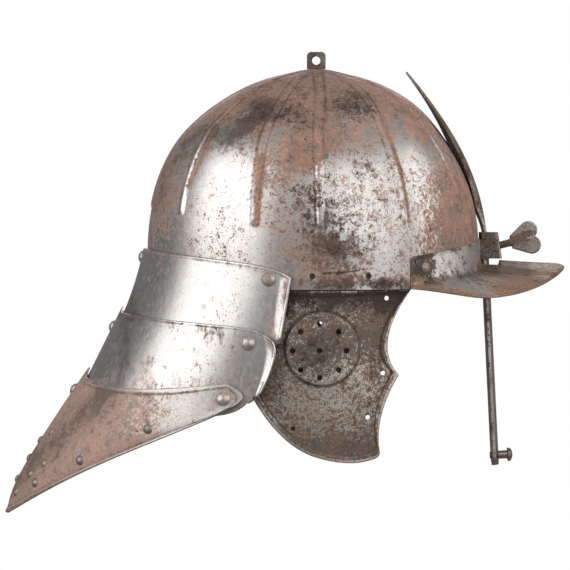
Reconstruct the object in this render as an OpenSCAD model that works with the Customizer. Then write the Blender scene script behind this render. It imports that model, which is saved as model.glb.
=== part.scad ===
// Lobster-tail helmet: a ribbed steel bowl with a pointed peak, a sliding nasal,
// a neck guard of three overlapping lames and two hinged cheekpieces.
// Millimetres. +X is the front, +Z is up, and -Y is the wearer's right side.
// The origin lies under the crown on the middle plane, level with the side rim.

/* [Bowl] */
// Length of the bowl from brow to nape, outside
bowl_length = 225; // [215:1:235]
// Width of the bowl over the ears, outside
bowl_width = 195; // [186:1:204]
// Height of the crown above the datum
bowl_height = 148; // [140:1:156]
// Height of the small boss under the crown loop
crown_rise = 1.8; // [0:0.1:2.4]
// Thickness of the bowl
bowl_sheet = 1.5; // [1.2:0.1:2]
// Height at which the bowl is widest
girth_z = 25; // [20:1:30]
// Fullness of the crown, where 2 is an ellipsoid
crown_power = 2.18; // [2:0.02:2.4]
// Height of the rim over the ears
rim_side_z = 2.2; // [1:0.1:4]
// Height of the rim behind the brow band
rim_front_z = 17; // [15:0.5:19]
// Height of the rim behind the first lame
rim_back_z = 12; // [9:0.5:14]
// Width of a raised rib at its lower end
rib_width = 6; // [4:0.5:8]
// Height of a raised rib
rib_height = 1.1; // [0.6:0.1:1.6]
// Height at which the ribs over the ears end
rib_end_side_z = 42.5; // [38:0.5:48]
// How much higher the ribs at brow and nape end
rib_end_rise = 14.5; // [8:0.5:18]
// Radius of the empty holes along the rim
rim_hole_r = 1.9; // [1.2:0.1:2.4]
// Distance between the two empty rim holes of a side
rim_hole_pitch = 37; // [30:1:44]

/* [Crown loop] */
// Width of the hanging loop
loop_width = 12.6; // [10:0.2:16]
// Thickness of the hanging loop
loop_sheet = 2.5; // [2:0.1:4]
// Radius of the hole in the loop
loop_hole_r = 2.85; // [2:0.05:4]
// Height of the hole's centre above the crown
loop_hole_rise = 6; // [5:0.1:8]
// Height of the loop's flat top above its hole's centre
loop_top_rise = 5.9; // [4.5:0.1:7]

/* [Peak] */
// Thickness of the brow band and peak
peak_sheet = 1.4; // [1:0.1:2]
// Half of the angle that the band covers on the brow
band_angle = 58; // [52:1:62]
// Height of the band's upper edge at the middle
band_top_z = 35; // [32:0.5:38]
// How far the band's upper edge falls towards its ends
band_top_fall = 11.5; // [8:0.5:14]
// How far the peak's point stands in front of the bowl
peak_reach = 59; // [50:1:66]
// Half of the peak's width at its rim
peak_half_width = 90; // [88:0.5:94]
// Height of the peak's root beside the keel
peak_root_z = 11.2; // [9:0.2:13]
// How far the keel rises above the root
keel_rise = 9; // [6:0.2:11]
// Width over which the keel falls away to each side
keel_spread = 14; // [10:1:18]
// Height of the peak's point
peak_tip_z = 15; // [12:0.5:18]
// Height of the lowest part of the peak's rim
peak_low_z = -4; // [-7:0.5:-1]
// Length of the slot that the nasal passes through
nasal_slot_length = 13.2; // [12:0.2:15]

/* [Nasal] */
// Width of the nasal bar
bar_width = 14; // [12:0.5:17]
// Thickness of the bar at its ridge
bar_ridge = 4.8; // [4:0.1:5.2]
// Thickness of the bar at its edges
bar_edge = 2; // [1.4:0.1:2.6]
// Gap between the bar and the brow band
bar_gap = 0.5; // [0.4:0.05:1]
// Lean of the bar, as forward run for each unit of drop
bar_lean = 0.05; // [0.03:0.005:0.07]
// Length of the bar below the band's upper edge
bar_length = 155; // [140:1:165]
// Length of the leaf along its curve
leaf_length = 127; // [110:1:135]
// Greatest width of the leaf
leaf_width = 33; // [28:1:40]
// Thickness of the leaf
leaf_sheet = 1.6; // [1.2:0.1:2]
// Depth to which the leaf is dished
leaf_dish = 3; // [1:0.5:5]
// Least clearance between the leaf's middle line and the bowl
leaf_gap = 4.1; // [3:0.1:6]
// How far the nasal can be raised
nasal_travel = 108; // [80:1:110]
// Distance of the knob above the bar's lower end
knob_rise = 7; // [6:0.5:12]
// Length of the knob's neck
knob_neck = 6.4; // [5:0.2:9]
// Radius of the knob's head
knob_r = 4.7; // [4:0.1:6]

/* [Nasal bracket and wing screw] */
// Height of the bracket's legs
bracket_height = 18; // [15:0.5:20]
// Height of the bracket's lower edge
bracket_z = 21.4; // [20:0.2:24]
// Thickness of the bracket's strap
bracket_sheet = 2; // [1.6:0.1:2.4]
// Gap between the nasal bar and the bracket's legs
bracket_side_gap = 0.8; // [0.5:0.1:1.4]
// Room in front of the nasal's ridge inside the bracket, at the upper edge
bracket_front_room = 4.6; // [3.5:0.1:6]
// Slope of the bracket's front, in degrees
bracket_slope = 8.5; // [5:0.5:10]
// Width of each foot on the band
bracket_foot = 5.6; // [5:0.2:7]
// Radius of the wing screw's shank
screw_r = 2.8; // [2.2:0.1:3.2]
// Tilt of the wing screw's axis, in degrees
screw_tilt = 14.5; // [10:0.5:16]
// Length of the shank from the bracket to the head
screw_reach = 8.5; // [7.5:0.5:14]
// Radius of each lobe of the heart-shaped head
lobe_r = 6.2; // [5.2:0.1:7]
// Distance of each lobe's centre from the axis
lobe_offset = 5.1; // [4.5:0.1:5.6]
// Length of the head from its root to the lobes' centres
lobe_reach = 13.5; // [11:0.5:16]
// Thickness of the head
head_thickness = 3; // [2.4:0.1:4]

/* [Neck guard] */
// Thickness of a lame
lame_sheet = 1.2; // [1:0.05:1.4]
// Gap between the first lame and the bowl at the nape
nape_gap = 1.5; // [1.4:0.05:2]
// Gap between overlapping plates at the sides
side_gap = 0.6; // [0.5:0.05:0.8]
// Gap between overlapping lames at the back
lap_gap = 2; // [1.8:0.1:2.4]
// Height of the first lame's upper edge at the back
guard_top_z = 28.6; // [26:0.2:31]
// Part of a lame that the next one leaves uncovered
lap_start = 0.67; // [0.64:0.01:0.7]
// Drop of the first lame at the back
lame_1_drop = 62.6; // [58:0.2:66]
// Backward run of the first lame
lame_1_run = 22.4; // [19:0.2:25]
// Drop of the second lame at the back
lame_2_drop = 62.5; // [58:0.5:66]
// Backward run of the second lame
lame_2_run = 31; // [28:0.5:34]
// Drop of the third lame at the back
lame_3_drop = 94; // [86:1:100]
// Backward run of the third lame
lame_3_run = 53; // [46:1:58]
// Widening of the third lame towards its lower edge
tail_spread = 3.3; // [2:0.1:6]
// Width of the turned-out flange at the lames' front ends
flange_width = 7; // [5:0.5:8]
// How far the flange turns out
flange_turn = 2.6; // [1.5:0.1:3.5]
// Thickness added to the third lame's hem
hem_height = 1; // [0.6:0.1:1.4]
// Angle that the first lame can rise
lame_1_lift = 3; // [1:0.5:3]
// Angle that the second and third lames can rise
lame_lift = 4; // [1:0.5:4]

/* [Cheekpieces] */
// Thickness of a cheekpiece
cheek_sheet = 1.3; // [1:0.1:1.6]
// Gap between the cheekpiece and the bowl's inner face
cheek_gap = 2.5; // [2.3:0.1:3.2]
// Height of the cheekpiece's upper edge
cheek_top_z = 2.2; // [1.6:0.1:2.4]
// Length of the cheekpiece below the datum
cheek_drop = 111; // [100:1:118]
// Depth to which the cheekpiece bows outwards
cheek_bow = 4.5; // [3:0.1:6]
// Radius of the raised ear roundel
ear_r = 24.7; // [22:0.1:26]
// Height of the ear roundel
ear_rise = 1.8; // [1:0.1:2.6]
// Radius of the circle of sound holes
ear_hole_circle_r = 17.5; // [14:0.5:18.5]
// Radius of a sound hole
ear_hole_r = 1.8; // [1.2:0.1:2.4]
// Width of the raised border
border_width = 3.6; // [2.5:0.1:5]
// Height of the raised border
border_rise = 0.8; // [0.4:0.1:1.2]
// Radius of the lining holes
lining_hole_r = 1.5; // [1:0.1:2]
// Width of the leather hanger
strap_width = 46; // [38:1:50]
// Thickness of the leather hanger
strap_sheet = 2; // [1.5:0.1:2.2]

/* [Rivets] */
// Radius of the domed heads on the pivots
pivot_head_r = 4.6; // [3.8:0.1:5]
// Height of the domed heads on the pivots
pivot_head_h = 2.2; // [1.6:0.1:3]
// Radius of the pivots' shanks
pivot_r = 2; // [1.6:0.1:2.3]
// Radius of the tail's rivet heads
tail_head_r = 3.3; // [2.6:0.1:4]
// Radius of the small lining rivets' heads
small_head_r = 2.6; // [2:0.1:3.2]
// Radius of the shanks of all rivets but the pivots
rivet_r = 1.4; // [1:0.1:1.6]

/* [Hidden] */
$fn = 48;

// Gap left between two sheets that are riveted hard together
plate_fit = 0.15;
// Radial clearance of a pivot in the plate that turns on it
pivot_clearance = 0.3;
// Gap under the head of a pivot
head_gap = 0.3;
// Length by which a cutter passes beyond what it cuts
over = 6;

// Small helpers for vectors and curves
function unit(v) = v/norm(v);
function mix(a, b, t) = a + (b - a)*t;
function bezier(a, c, b, t) = mix(mix(a, c, t), mix(c, b, t), t);
function clamped(t) = max(0, min(1, t));
function ease(t) = let (k = clamped(t)) k*k*(3 - 2*k);

// Grid of points: the neighbour in a row or column, or the edge itself
function cell(g, i, j, ring) = let (c = len(g[0]))
    g[max(0, min(len(g) - 1, i))][ring ? (j + c)%c : max(0, min(c - 1, j))];
// Unit normal of a grid, to the left of its columns' way for one who walks down its rows
function grid_normal(g, i, j, ring) =
    unit(cross(cell(g, i, j + 1, ring) - cell(g, i, j - 1, ring),
        cell(g, i + 1, j, ring) - cell(g, i - 1, j, ring)));
// The same grid moved along its normals, by a distance given for each row
function raised(g, lifts, ring = false) =
    [for (i = [0:len(g) - 1]) [for (j = [0:len(g[0]) - 1]) g[i][j] + lifts[i]*grid_normal(g, i, j, ring)]];
function same(n, value) = [for (i = [1:n]) value];

// Closed solid between an outer and an inner grid. A ring's columns meet, and a crown closes its first row.
module plate(outer, inner, ring = false, crown = []) {
    r = len(outer);
    c = len(outer[0]);
    n = r*c;
    last = ring ? c - 1 : c - 2;
    points = concat([for (row = outer) each row], [for (row = inner) each row], crown);
    skins = [for (i = [0:r - 2]) for (j = [0:last]) let (a = i*c + j, b = i*c + (j + 1)%c)
        each [[a, a + c, b + c], [a, b + c, b], [n + a, n + b + c, n + a + c], [n + a, n + b, n + b + c]]];
    foot = [for (j = [0:last]) let (a = (r - 1)*c + j, b = (r - 1)*c + (j + 1)%c)
        each [[a, n + a, n + b], [a, n + b, b]]];
    top = [for (j = [0:last]) let (b = (j + 1)%c)
        each len(crown) > 0 ? [[2*n, j, b], [2*n + 1, n + b, n + j]] : [[j, n + b, n + j], [j, b, n + b]]];
    sides = ring ? [] : [for (i = [0:r - 2]) let (a = i*c, d = i*c + c - 1)
        each [[a, n + a, n + a + c], [a, n + a + c, a + c], [d, n + d + c, n + d], [d, d + c, n + d + c]]];
    polyhedron(points = points, faces = concat(skins, foot, top, sides));
}

// Children set at a point with their Z axis along a normal
module along(p, n) {
    translate(p) rotate([0, acos(n.z), atan2(n.y, n.x)]) children();
}

module both_sides() {
    children();
    mirror([0, 1, 0]) children();
}

// Domed cap of radius r and height h on the plane z = 0
module dome(r, h) {
    sphere_r = (r*r + h*h)/(2*h);
    intersection() {
        translate([0, 0, h - sphere_r]) sphere(sphere_r);
        cylinder(r = r, h = h);
    }
}

// Rivet with a domed head above z = 0, a shank down through the grip and a hammered tail below
module rivet(head_r, head_h, shank_r, grip, tail_r, tail_h) {
    dome(head_r, head_h);
    translate([0, 0, -grip - tail_h/2]) cylinder(r = shank_r, h = grip + tail_h/2 + head_h/4);
    translate([0, 0, -grip - tail_h]) cylinder(r = tail_r, h = tail_h);
}

// The bowl: an oval in plan that shrinks as a superellipse towards the crown
half_length = bowl_length/2;
half_width = bowl_width/2;
dome_rise = bowl_height - girth_z;
nape_shift = 3.3;
function bowl_level(z) = max(0, (z - girth_z)/dome_rise);
function bowl_fall(z) = sqrt(max(0, 1 - pow(bowl_level(z), crown_power)));
function bowl_shift(z) = -nape_shift - 0.9*ease((z - 50)/50) + 3*ease((z - 100)/35);
function bowl_normal(a, z) = unit([bowl_fall(z)*cos(a)/half_length, bowl_fall(z)*sin(a)/half_width,
    crown_power/2*pow(bowl_level(z), crown_power - 1)/dome_rise]);
function bowl_point(a, z, out = 0) =
    [bowl_shift(z) + half_length*bowl_fall(z)*cos(a), half_width*bowl_fall(z)*sin(a), z]
    + out*bowl_normal(a, z);
crown_point = [bowl_shift(bowl_height), 0, bowl_height + crown_rise];
boss_step = 0.17;
// Angle on the right side at which the bowl passes a given x
function bowl_angle(x, z) = -acos((x - bowl_shift(z))/(half_length*bowl_fall(z)));
// Angle at which the bowl, offset outwards, has a given y
function bowl_angle_y(y, out) = asin(y/(half_width + out));

// Ribs run from the crown. The half circle's angles count from the brow.
rib_half_angles = [0, 29, 60, 90, 113, 145, 180];
rib_angles = concat(rib_half_angles, [for (k = [5:-1:1]) 360 - rib_half_angles[k]]);
rib_columns = 8;
rib_profile = [-1, -0.55, 0.55, 1];
rib_end_slope = 1.6;
crown_steps = [0.05, 0.12, 0.21, 0.32, 0.43, 0.54, 0.65, 0.76, 0.87, 0.95, 1];
wall_steps = [0, 0.4, 0.75, 1];
function rib_end(a) = rib_end_side_z + rib_end_rise*(1 + cos(2*a))/2;
function rim_z(a) = let (b = a > 180 ? 360 - a : a) rim_side_z
    + (rim_front_z - rim_side_z)*ease((band_angle - b)/12) + (rim_back_z - rim_side_z)*ease((b - 100)/25);
// Half of a rib's angle at a step between crown (0) and rib end (1)
function rib_spread(step) = min(6.4,
    (0.35 + 0.65*step)*rib_width/2/(half_width*sin(78*max(step, 0.05)))*180/PI);
function rib_column_angle(j, spread) = let (k = floor(j/rib_columns), m = j%rib_columns,
    here = rib_angles[k], next = k == len(rib_angles) - 1 ? 360 : rib_angles[k + 1])
    m < 4 ? here + spread*rib_profile[m] : mix(here + spread, next - spread, (m - 3)/(rib_columns - 3));
function on_rib(j) = let (m = j%rib_columns) m == 1 || m == 2;
// Height on the dome at a step from the crown to the rib's end
function crown_z(a, step) = let (whole = acos(pow(bowl_level(rib_end(a)), crown_power/2)))
    girth_z + dome_rise*pow(cos(whole*step), 2/crown_power);
function bowl_grid(out) = let (count = rib_columns*len(rib_angles)) concat(
    [for (step = crown_steps) [for (j = [0:count - 1]) let (a = rib_column_angle(j, rib_spread(step)))
        bowl_point(a, crown_z(a, step), out + crown_rise*ease(1 - step/boss_step)
            + (on_rib(j) ? rib_height*(0.4 + 0.6*step) : 0))]],
    [for (step = wall_steps) [for (j = [0:count - 1]) let (a = rib_column_angle(j, rib_spread(1)))
        bowl_point(a, mix(rib_end(a) - rib_end_slope, rim_z((a + 360)%360), step), out)]]);

module on_bowl(x, z, out = 0) {
    a = bowl_angle(x, z);
    along(bowl_point(a, z, out), bowl_normal(a, z)) children();
}

// Places on the bowl's right side, as x and z
strap_x = 9.5;
strap_rivet_z = 6.1;
rim_hole_z = 11;
lining_rivet_x = -28.4;
lining_rivet_z = 41.9;
band_rivet_x = 66;
band_rivet_z = 16.8;
loop_stem_r = loop_sheet/2 - 0.05;

module skull() {
    color("#8d7f78") difference() {
        plate(bowl_grid(0), bowl_grid(-bowl_sheet), true,
            [crown_point, crown_point - [0, 0, bowl_sheet]]);
        both_sides() {
            for (x = [strap_x - rim_hole_pitch/2, strap_x + rim_hole_pitch/2])
                on_bowl(x, rim_hole_z) cylinder(r = rim_hole_r, h = over, center = true);
            on_bowl(strap_x, strap_rivet_z) cylinder(r = rivet_r, h = over, center = true);
            on_bowl(lining_rivet_x, lining_rivet_z) cylinder(r = rivet_r, h = over, center = true);
            on_bowl(band_rivet_x, band_rivet_z) cylinder(r = rivet_r, h = over, center = true);
            on_lame(0, pivots[0]) cylinder(r = pivot_r, h = 3*over, center = true);
            bracket_rivet_place() cylinder(r = rivet_r, h = 3*over, center = true);
        }
        translate(crown_point) cylinder(r = loop_stem_r, h = over, center = true);
        slide_slot(0);
    }
}

// Flat loop on the crown with a stem hammered over inside
module crown_loop() {
    half = loop_width/2;
    corner_r = 2.8;
    height = loop_hole_rise + loop_top_rise;
    color("#5f5550") translate(crown_point) {
        difference() {
            rotate([90, 0, 0]) linear_extrude(loop_sheet, center = true) {
                translate([-half, 2*plate_fit]) square([loop_width, height - corner_r - 2*plate_fit]);
                translate([corner_r - half, 2*plate_fit])
                    square([loop_width - 2*corner_r, height - 2*plate_fit]);
                for (side = [-1, 1]) translate([side*(half - corner_r), height - corner_r]) circle(corner_r);
            }
            translate([0, 0, loop_hole_rise]) rotate([90, 0, 0])
                cylinder(r = loop_hole_r, h = over, center = true);
        }
        translate([0, 0, -bowl_sheet - 1]) cylinder(r = loop_stem_r, h = bowl_sheet + 1.5);
        translate([0, 0, -bowl_sheet - 1.5]) cylinder(r = 3.2, h = 1);
    }
}

// The peak: a band on the brow that turns out into a keeled, pointed visor
function front_x(z) = bowl_point(0, z, plate_fit + peak_sheet).x;
function band_top(a) = band_top_z - band_top_fall*pow(abs(a)/band_angle, 1.35);
function root_z(y) = peak_root_z + keel_rise*exp(-abs(y)/keel_spread)
    - 8.6*pow(abs(y)/(half_width*sin(band_angle)), 8);
rim_centre_x = 50;
rim_power = 1.6;
rim_low_y = 0.8*peak_half_width;
function rim_height(y) = let (b = abs(y)) b < rim_low_y
    ? peak_low_z + (peak_tip_z - peak_low_z)*pow(1 - pow(b/rim_low_y, 1.5), 1.8)
    : peak_low_z + (rim_side_z + 0.5 - peak_low_z)*pow((b - rim_low_y)/(peak_half_width - rim_low_y), 1.5);
function rim_point(u) = let (a = 85*pow(abs(u), 1.15), y = peak_half_width*pow(sin(a), 2/rim_power))
    [rim_centre_x + (bowl_length/2 - nape_shift + peak_reach - rim_centre_x)*pow(cos(a), 2/rim_power),
        sign(u)*y, rim_height(y)];
peak_steps = [for (k = [-14:14]) -k/14];
visor_steps = [0.1, 0.24, 0.42, 0.6, 0.78, 0.92];
tip_lip = 1.7;
function band_side(u) = sign(u)*band_angle*pow(abs(u), 1.5);
function peak_grid() = concat(
    [for (t = [0, 0.5, 0.9]) [for (u = peak_steps) let (a = band_side(u), root = root_z(half_width*sin(a)))
        bowl_point(a, mix(band_top(a), root, t), plate_fit)]],
    [for (v = visor_steps) [for (u = peak_steps) let (a = band_side(u), y = half_width*sin(a),
        from = bowl_point(a, root_z(y), plate_fit), to = rim_point(u))
        mix(from, to, v) + [0, 0, tip_lip*v*v*exp(-abs(to.y)/9)]]],
    [[for (u = peak_steps) rim_point(u)]]);

module nasal_slot() {
    slot_half = bar_width/2 + 1.8;
    x = front_x(peak_root_z);
    translate([x, -slot_half, peak_root_z - 3]) cube([nasal_slot_length, 2*slot_half, keel_rise + 8]);
}

module peak() {
    grid = peak_grid();
    color("#8a6f60") difference() {
        plate(raised(grid, same(len(grid), peak_sheet)), grid);
        nasal_slot();
        both_sides() {
            on_bowl(band_rivet_x, band_rivet_z) cylinder(r = rivet_r, h = 2*over, center = true);
            on_bowl(58.6, 20.2) cylinder(r = 1, h = 2*over, center = true);
            on_bowl(101.1, 25.9) cylinder(r = 1.1, h = 2*over, center = true);
            bracket_rivet_place() cylinder(r = rivet_r, h = 3*over, center = true);
        }
    }
}

module peak_rivets() {
    color("#a2988f") both_sides() on_bowl(band_rivet_x, band_rivet_z, plate_fit + peak_sheet)
        rivet(small_head_r + 0.6, 1.4, rivet_r, plate_fit + peak_sheet + bowl_sheet + 0.2, 2.4, 0.8);
}

module lining_rivets() {
    color("#a2988f") both_sides() on_bowl(lining_rivet_x, lining_rivet_z)
        rivet(small_head_r, 1.2, rivet_r, bowl_sheet + 0.1, 2.4, 0.8);
}

// The nasal is drawn upright on its own axis, whose origin lies at the band's upper edge, and then leans
nasal_origin = [front_x(band_top_z) + bar_gap, 0, band_top_z];
lean_angle = atan(bar_lean);
module on_nasal() {
    translate(nasal_origin) rotate([0, -lean_angle, 0]) children();
}

leaf_rows = 12;
leaf_lap = 8;
function leaf_tilt(t, sweep) = sweep*(1 - pow(1 - t, 1.7));
function leaf_path(i, sweep) = i == 0 ? [bar_edge + 0.2, 0] :
    let (tilt = leaf_tilt((i - 0.5)/leaf_rows, sweep))
    leaf_path(i - 1, sweep) + leaf_length/leaf_rows*[-sin(tilt), cos(tilt)];
// Least distance between the leaf's middle line and the bowl for a sweep, and 0 where they would meet
function leaf_room(sweep) = min([for (i = [4:leaf_rows]) let (p = leaf_path(i, sweep),
    x = nasal_origin.x + p.x*cos(lean_angle) - p.y*sin(lean_angle),
    z = nasal_origin.z + p.x*sin(lean_angle) + p.y*cos(lean_angle))
    z < bowl_height && x < bowl_point(0, z).x ? 0 :
        min([for (h = [girth_z:3:bowl_height]) norm([x - bowl_point(0, h).x, z - h])])]);
// How far the leaf leans back from root to tip, in degrees, found by halving
function sweep_for(gap, low, high, n) = let (s = (low + high)/2) n == 0 ? s
    : leaf_room(s) > gap ? sweep_for(gap, s, high, n - 1) : sweep_for(gap, low, s, n - 1);
leaf_sweep = sweep_for(leaf_gap, 0, 64, 14);
function leaf_half(t) = t < 0.55 ? mix(bar_width/2, leaf_width/2, ease(t/0.55))
    : max(0.5, leaf_width/2*(1 - pow((t - 0.55)/0.45, 1.15)));
// Depth by which the leaf's sides bend back towards the bowl
leaf_root_dish = 4.1;
function leaf_back(t) = t < 0.17 ? mix(0.4, leaf_root_dish, pow(t/0.17, 1.6))
    : t < 0.55 ? mix(leaf_root_dish, leaf_dish, (t - 0.17)/0.38)
    : leaf_dish*pow(leaf_half(t)/(leaf_width/2), 2);
function leaf_grid() = [for (i = [0:leaf_rows]) let (t = i/leaf_rows,
    p = leaf_path(i, leaf_sweep), tilt = leaf_tilt(t, leaf_sweep), w = leaf_half(t))
    [for (k = [-3:3]) let (q = k/3, back = leaf_back(t)*q*q)
        [p.x - back*cos(tilt), q*w, p.y - back*sin(tilt)]]];

module nasal() {
    grid = leaf_grid();
    half = bar_width/2;
    section = [[0, -half], [bar_edge, -half], [bar_ridge, 0], [bar_edge, half], [0, half]];
    color("#4f4640") on_nasal() difference() {
        union() {
            intersection() {
                translate([0, 0, -bar_length]) linear_extrude(bar_length + leaf_lap/2) polygon(section);
                union() {
                    translate([-over, 0, bar_width/2 - bar_length]) rotate([0, 90, 0])
                        cylinder(r = bar_width/2, h = 3*over);
                    translate([-over, -bar_width, bar_width/2 - bar_length])
                        cube([3*over, 2*bar_width, bar_length + leaf_lap]);
                }
            }
            plate(raised(grid, same(len(grid), leaf_sheet)), grid);
        }
        translate([-over, 0, knob_rise - bar_length]) rotate([0, 90, 0]) cylinder(r = rivet_r, h = 3*over);
    }
}

// Stud that stops the nasal under the peak
module nasal_knob() {
    neck_r = 2.9;
    seat = bar_ridge - 0.6;
    color("#5b5049") on_nasal() translate([0, 0, knob_rise - bar_length]) rotate([0, 90, 0]) {
        translate([0, 0, -0.8]) cylinder(r = 2.4, h = 0.8);
        cylinder(r = rivet_r, h = bar_ridge + 1);
        translate([0, 0, bar_ridge]) cylinder(r = neck_r, h = knob_neck);
        translate([0, 0, bar_ridge + knob_neck]) {
            cylinder(r = knob_r, h = 1.6);
            translate([0, 0, 1.6]) dome(knob_r, 1.8);
        }
    }
}

// The bracket: a strap bent round the nasal, with a foot on the band at each side
bracket_inner_y = bar_width/2 + bracket_side_gap;
bracket_outer_y = bracket_inner_y + bracket_sheet;
bracket_top_z = bracket_z + bracket_height;
// Inner face of the bracket's front at a height
function bracket_front(z) = nasal_origin.x + bar_lean*(band_top_z - bracket_top_z) + bar_ridge
    + bracket_front_room + (bracket_top_z - z)*tan(bracket_slope);
foot_y = bracket_outer_y + bracket_foot/2 - 0.4;
foot_angle = bowl_angle_y(foot_y, plate_fit + peak_sheet);
foot_top_z = band_top(foot_angle) - 0.6;
function band_x(y, z) = bowl_point(bowl_angle_y(y, plate_fit + peak_sheet), z, plate_fit + peak_sheet).x;

module bracket_rivet_place() {
    z = (bracket_z + foot_top_z)/2 - 1;
    along(bowl_point(-foot_angle, z, plate_fit + peak_sheet), bowl_normal(-foot_angle, z)) children();
}

module nasal_bracket() {
    corner_r = 3.2;
    back_x = band_x(bracket_inner_y, bracket_z) + 0.3;
    depth = bracket_front(bracket_z) + bracket_sheet - back_x;
    color("#4a413c") difference() {
        union() {
            intersection() {
                translate([bracket_front(bracket_z), 0, bracket_z]) rotate([0, -bracket_slope, 0])
                    difference() {
                        bracket_block(bracket_outer_y, bracket_sheet, corner_r, over);
                        bracket_block(bracket_inner_y, 0, corner_r - bracket_sheet, 2*over);
                    }
                translate([back_x, -bracket_outer_y - 1, bracket_z])
                    cube([depth, 2*bracket_outer_y + 2, bracket_height]);
            }
            both_sides() bracket_foot_plate();
        }
        on_screw() translate([0, 0, -4*over]) cylinder(r = screw_r + 0.05, h = 8*over);
        both_sides() bracket_rivet_place() cylinder(r = rivet_r, h = 2*over, center = true);
    }
}

// Upright block with two rounded front corners, its front face on the YZ plane plus the added wall
module bracket_block(half, wall, r, beyond) {
    depth = 40;
    translate([0, 0, -beyond]) linear_extrude(bracket_height + 2*beyond) {
        translate([wall - depth, -half]) square([depth - r, 2*half]);
        translate([wall - depth, r - half]) square([depth, 2*(half - r)]);
        for (side = [-1, 1]) translate([wall - r, side*(half - r)]) circle(r);
    }
}

module bracket_foot_plate() {
    n = bowl_normal(-foot_angle, bracket_z);
    p = bowl_point(-foot_angle, bracket_z, plate_fit + peak_sheet + 0.15);
    translate(p) rotate([0, 0, atan2(n.y, n.x)])
        translate([0, -bracket_foot/2, 0])
            cube([bracket_sheet, bracket_foot + bracket_sheet, foot_top_z - bracket_z]);
}

module bracket_rivets() {
    color("#7b7068") both_sides() bracket_rivet_place() translate([0, 0, bracket_sheet + 0.25])
        rivet(2.2, 0.8, rivet_r, bracket_sheet + plate_fit + peak_sheet + bowl_sheet + 0.6, 2.4, 0.8);
}

// The wing screw, drawn along Z from the place where its axis leaves the bracket
screw_z = bracket_z + 0.49*bracket_height;
module on_screw() {
    translate([bracket_front(screw_z) + bracket_sheet, 0, screw_z])
        rotate([0, 90 - screw_tilt, 0]) children();
}
screw_tip_gap = 0.3;
function bar_front(z) = nasal_origin.x + bar_lean*(band_top_z - z) + bar_ridge;
screw_tip = (bracket_front(screw_z) + bracket_sheet - bar_front(screw_z) - screw_tip_gap)/cos(screw_tilt)
    - screw_r*tan(screw_tilt + lean_angle);
root_half = 4.4;

// Outline of the heart: straight flanks from the root to the outer side of each lobe
function tangent_point(root, centre, r) = let (v = root - centre, turn = acos(r/norm(v)) + atan2(v.y, v.x))
    centre + r*[cos(turn), sin(turn)];

module wing_screw() {
    lobe = [lobe_reach, lobe_offset];
    edge = tangent_point([0, root_half], lobe, 0.98*lobe_r);
    color("#6d6058") on_screw() {
        translate([0, 0, -screw_tip]) cylinder(r = screw_r, h = screw_tip + screw_reach + 2);
        translate([0, 0, screw_reach + 1]) cylinder(r1 = screw_r, r2 = head_thickness/3, h = 0.7*lobe_reach);
        translate([0, 0, screw_reach]) rotate([90, 0, 0]) {
            linear_extrude(head_thickness, center = true)
                polygon([[-root_half, 0], [root_half, 0], [edge.y, edge.x], [lobe_offset, lobe_reach],
                    [-lobe_offset, lobe_reach], [-edge.y, edge.x]]);
            for (side = [-1, 1]) translate([side*lobe_offset, lobe_reach])
                cylinder(r = lobe_r, h = head_thickness, center = true);
        }
    }
}

// The neck guard. Each lame is a stack of rows that run round the back from the right front end to the left.
// Its back profile is a curve in the middle plane, given for the inner face as [x, z].
nape_x = bowl_point(180, guard_top_z).x;
lame_run = [lame_1_run, lame_2_run, lame_3_run];
lame_drop = [lame_1_drop, lame_2_drop, lame_3_drop];
lame_bow = [4.7, 0, -6.4];
tail_bulge = 2.7;
function lame_start(k) = k == 0 ? [nape_x - nape_gap, guard_top_z]
    : back_profile(k - 1, lap_start) - [lame_sheet + lap_gap, 0.6];
function lame_end(k) = lame_start(k) - [lame_run[k], lame_drop[k]];
function back_profile(k, s) = let (a = lame_start(k), b = lame_end(k), d = unit(b - a))
    bezier(a, (a + b)/2 + lame_bow[k]*[-d.y, d.x], b, s)
    + (k == 2 ? tail_bulge*sin(180*pow(s, 3)) : 0)*[d.y, -d.x];

// Plan of each lame's upper and lower rows: x where it is widest, half width inside, and corner power
widest_x = [bowl_shift(0), -25, -45, -60];
width_top = [for (k = [0:2]) half_width + side_gap + k*(lame_sheet + side_gap) + [0, 0.5, 1.5][k]];
width_end = [width_top[0] + 0.5, width_top[1] + 1, width_top[2] + tail_spread];
power_end = [2, 2, 1.45];
// Front ends: x and z of the upper end, z of the lower end, how far the edge leans back, and how far its lower
// corner is cut away. The second lame's edge starts with a small hook, and the third's bulges as a nose.
front_top = [[-22.4, 10.3], [-34.6, -30.7], [-64, -58.5]];
front_end_z = [-38, -72, -75.5];
front_lean = [8.1, 14];
front_cut = [11.5, 5.5];
front_hook = 1.9;
front_nose = 9.5;
// Height of each flanged lame's upper and lower edge on its side, and how late the edge bends to the front end
side_top_z = [17, -23];
side_end_z = [-48, -81];
side_power = [8, 12];
tail_dip = 5.5;
flange_end = [0.8, 0.86, 0];
// Small cusp in the middle of each lame's upper edge, as x and z
cusp = [[0, 0], [1.7, 3.4], [2.9, 4.6]];

// Front edge of a lame: the flanged ones lean back, then cut away below, and the last one is a round nose
function front_edge(k, s) = [front_top[k].x + (
    k == 0 ? -front_lean[0]*s - front_cut[0]*ease((s - 0.85)/0.15) :
    k == 1 ? front_hook*(1 - pow(max(0, 0.15 - s)/0.15, 1.5)) - front_lean[1]*pow(max(0, s - 0.15)/0.85, 1.6)
        - front_cut[1]*ease((s - 0.8)/0.2) :
    front_nose*sin(180*s)), mix(front_top[k].y, front_end_z[k], s)];
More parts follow.
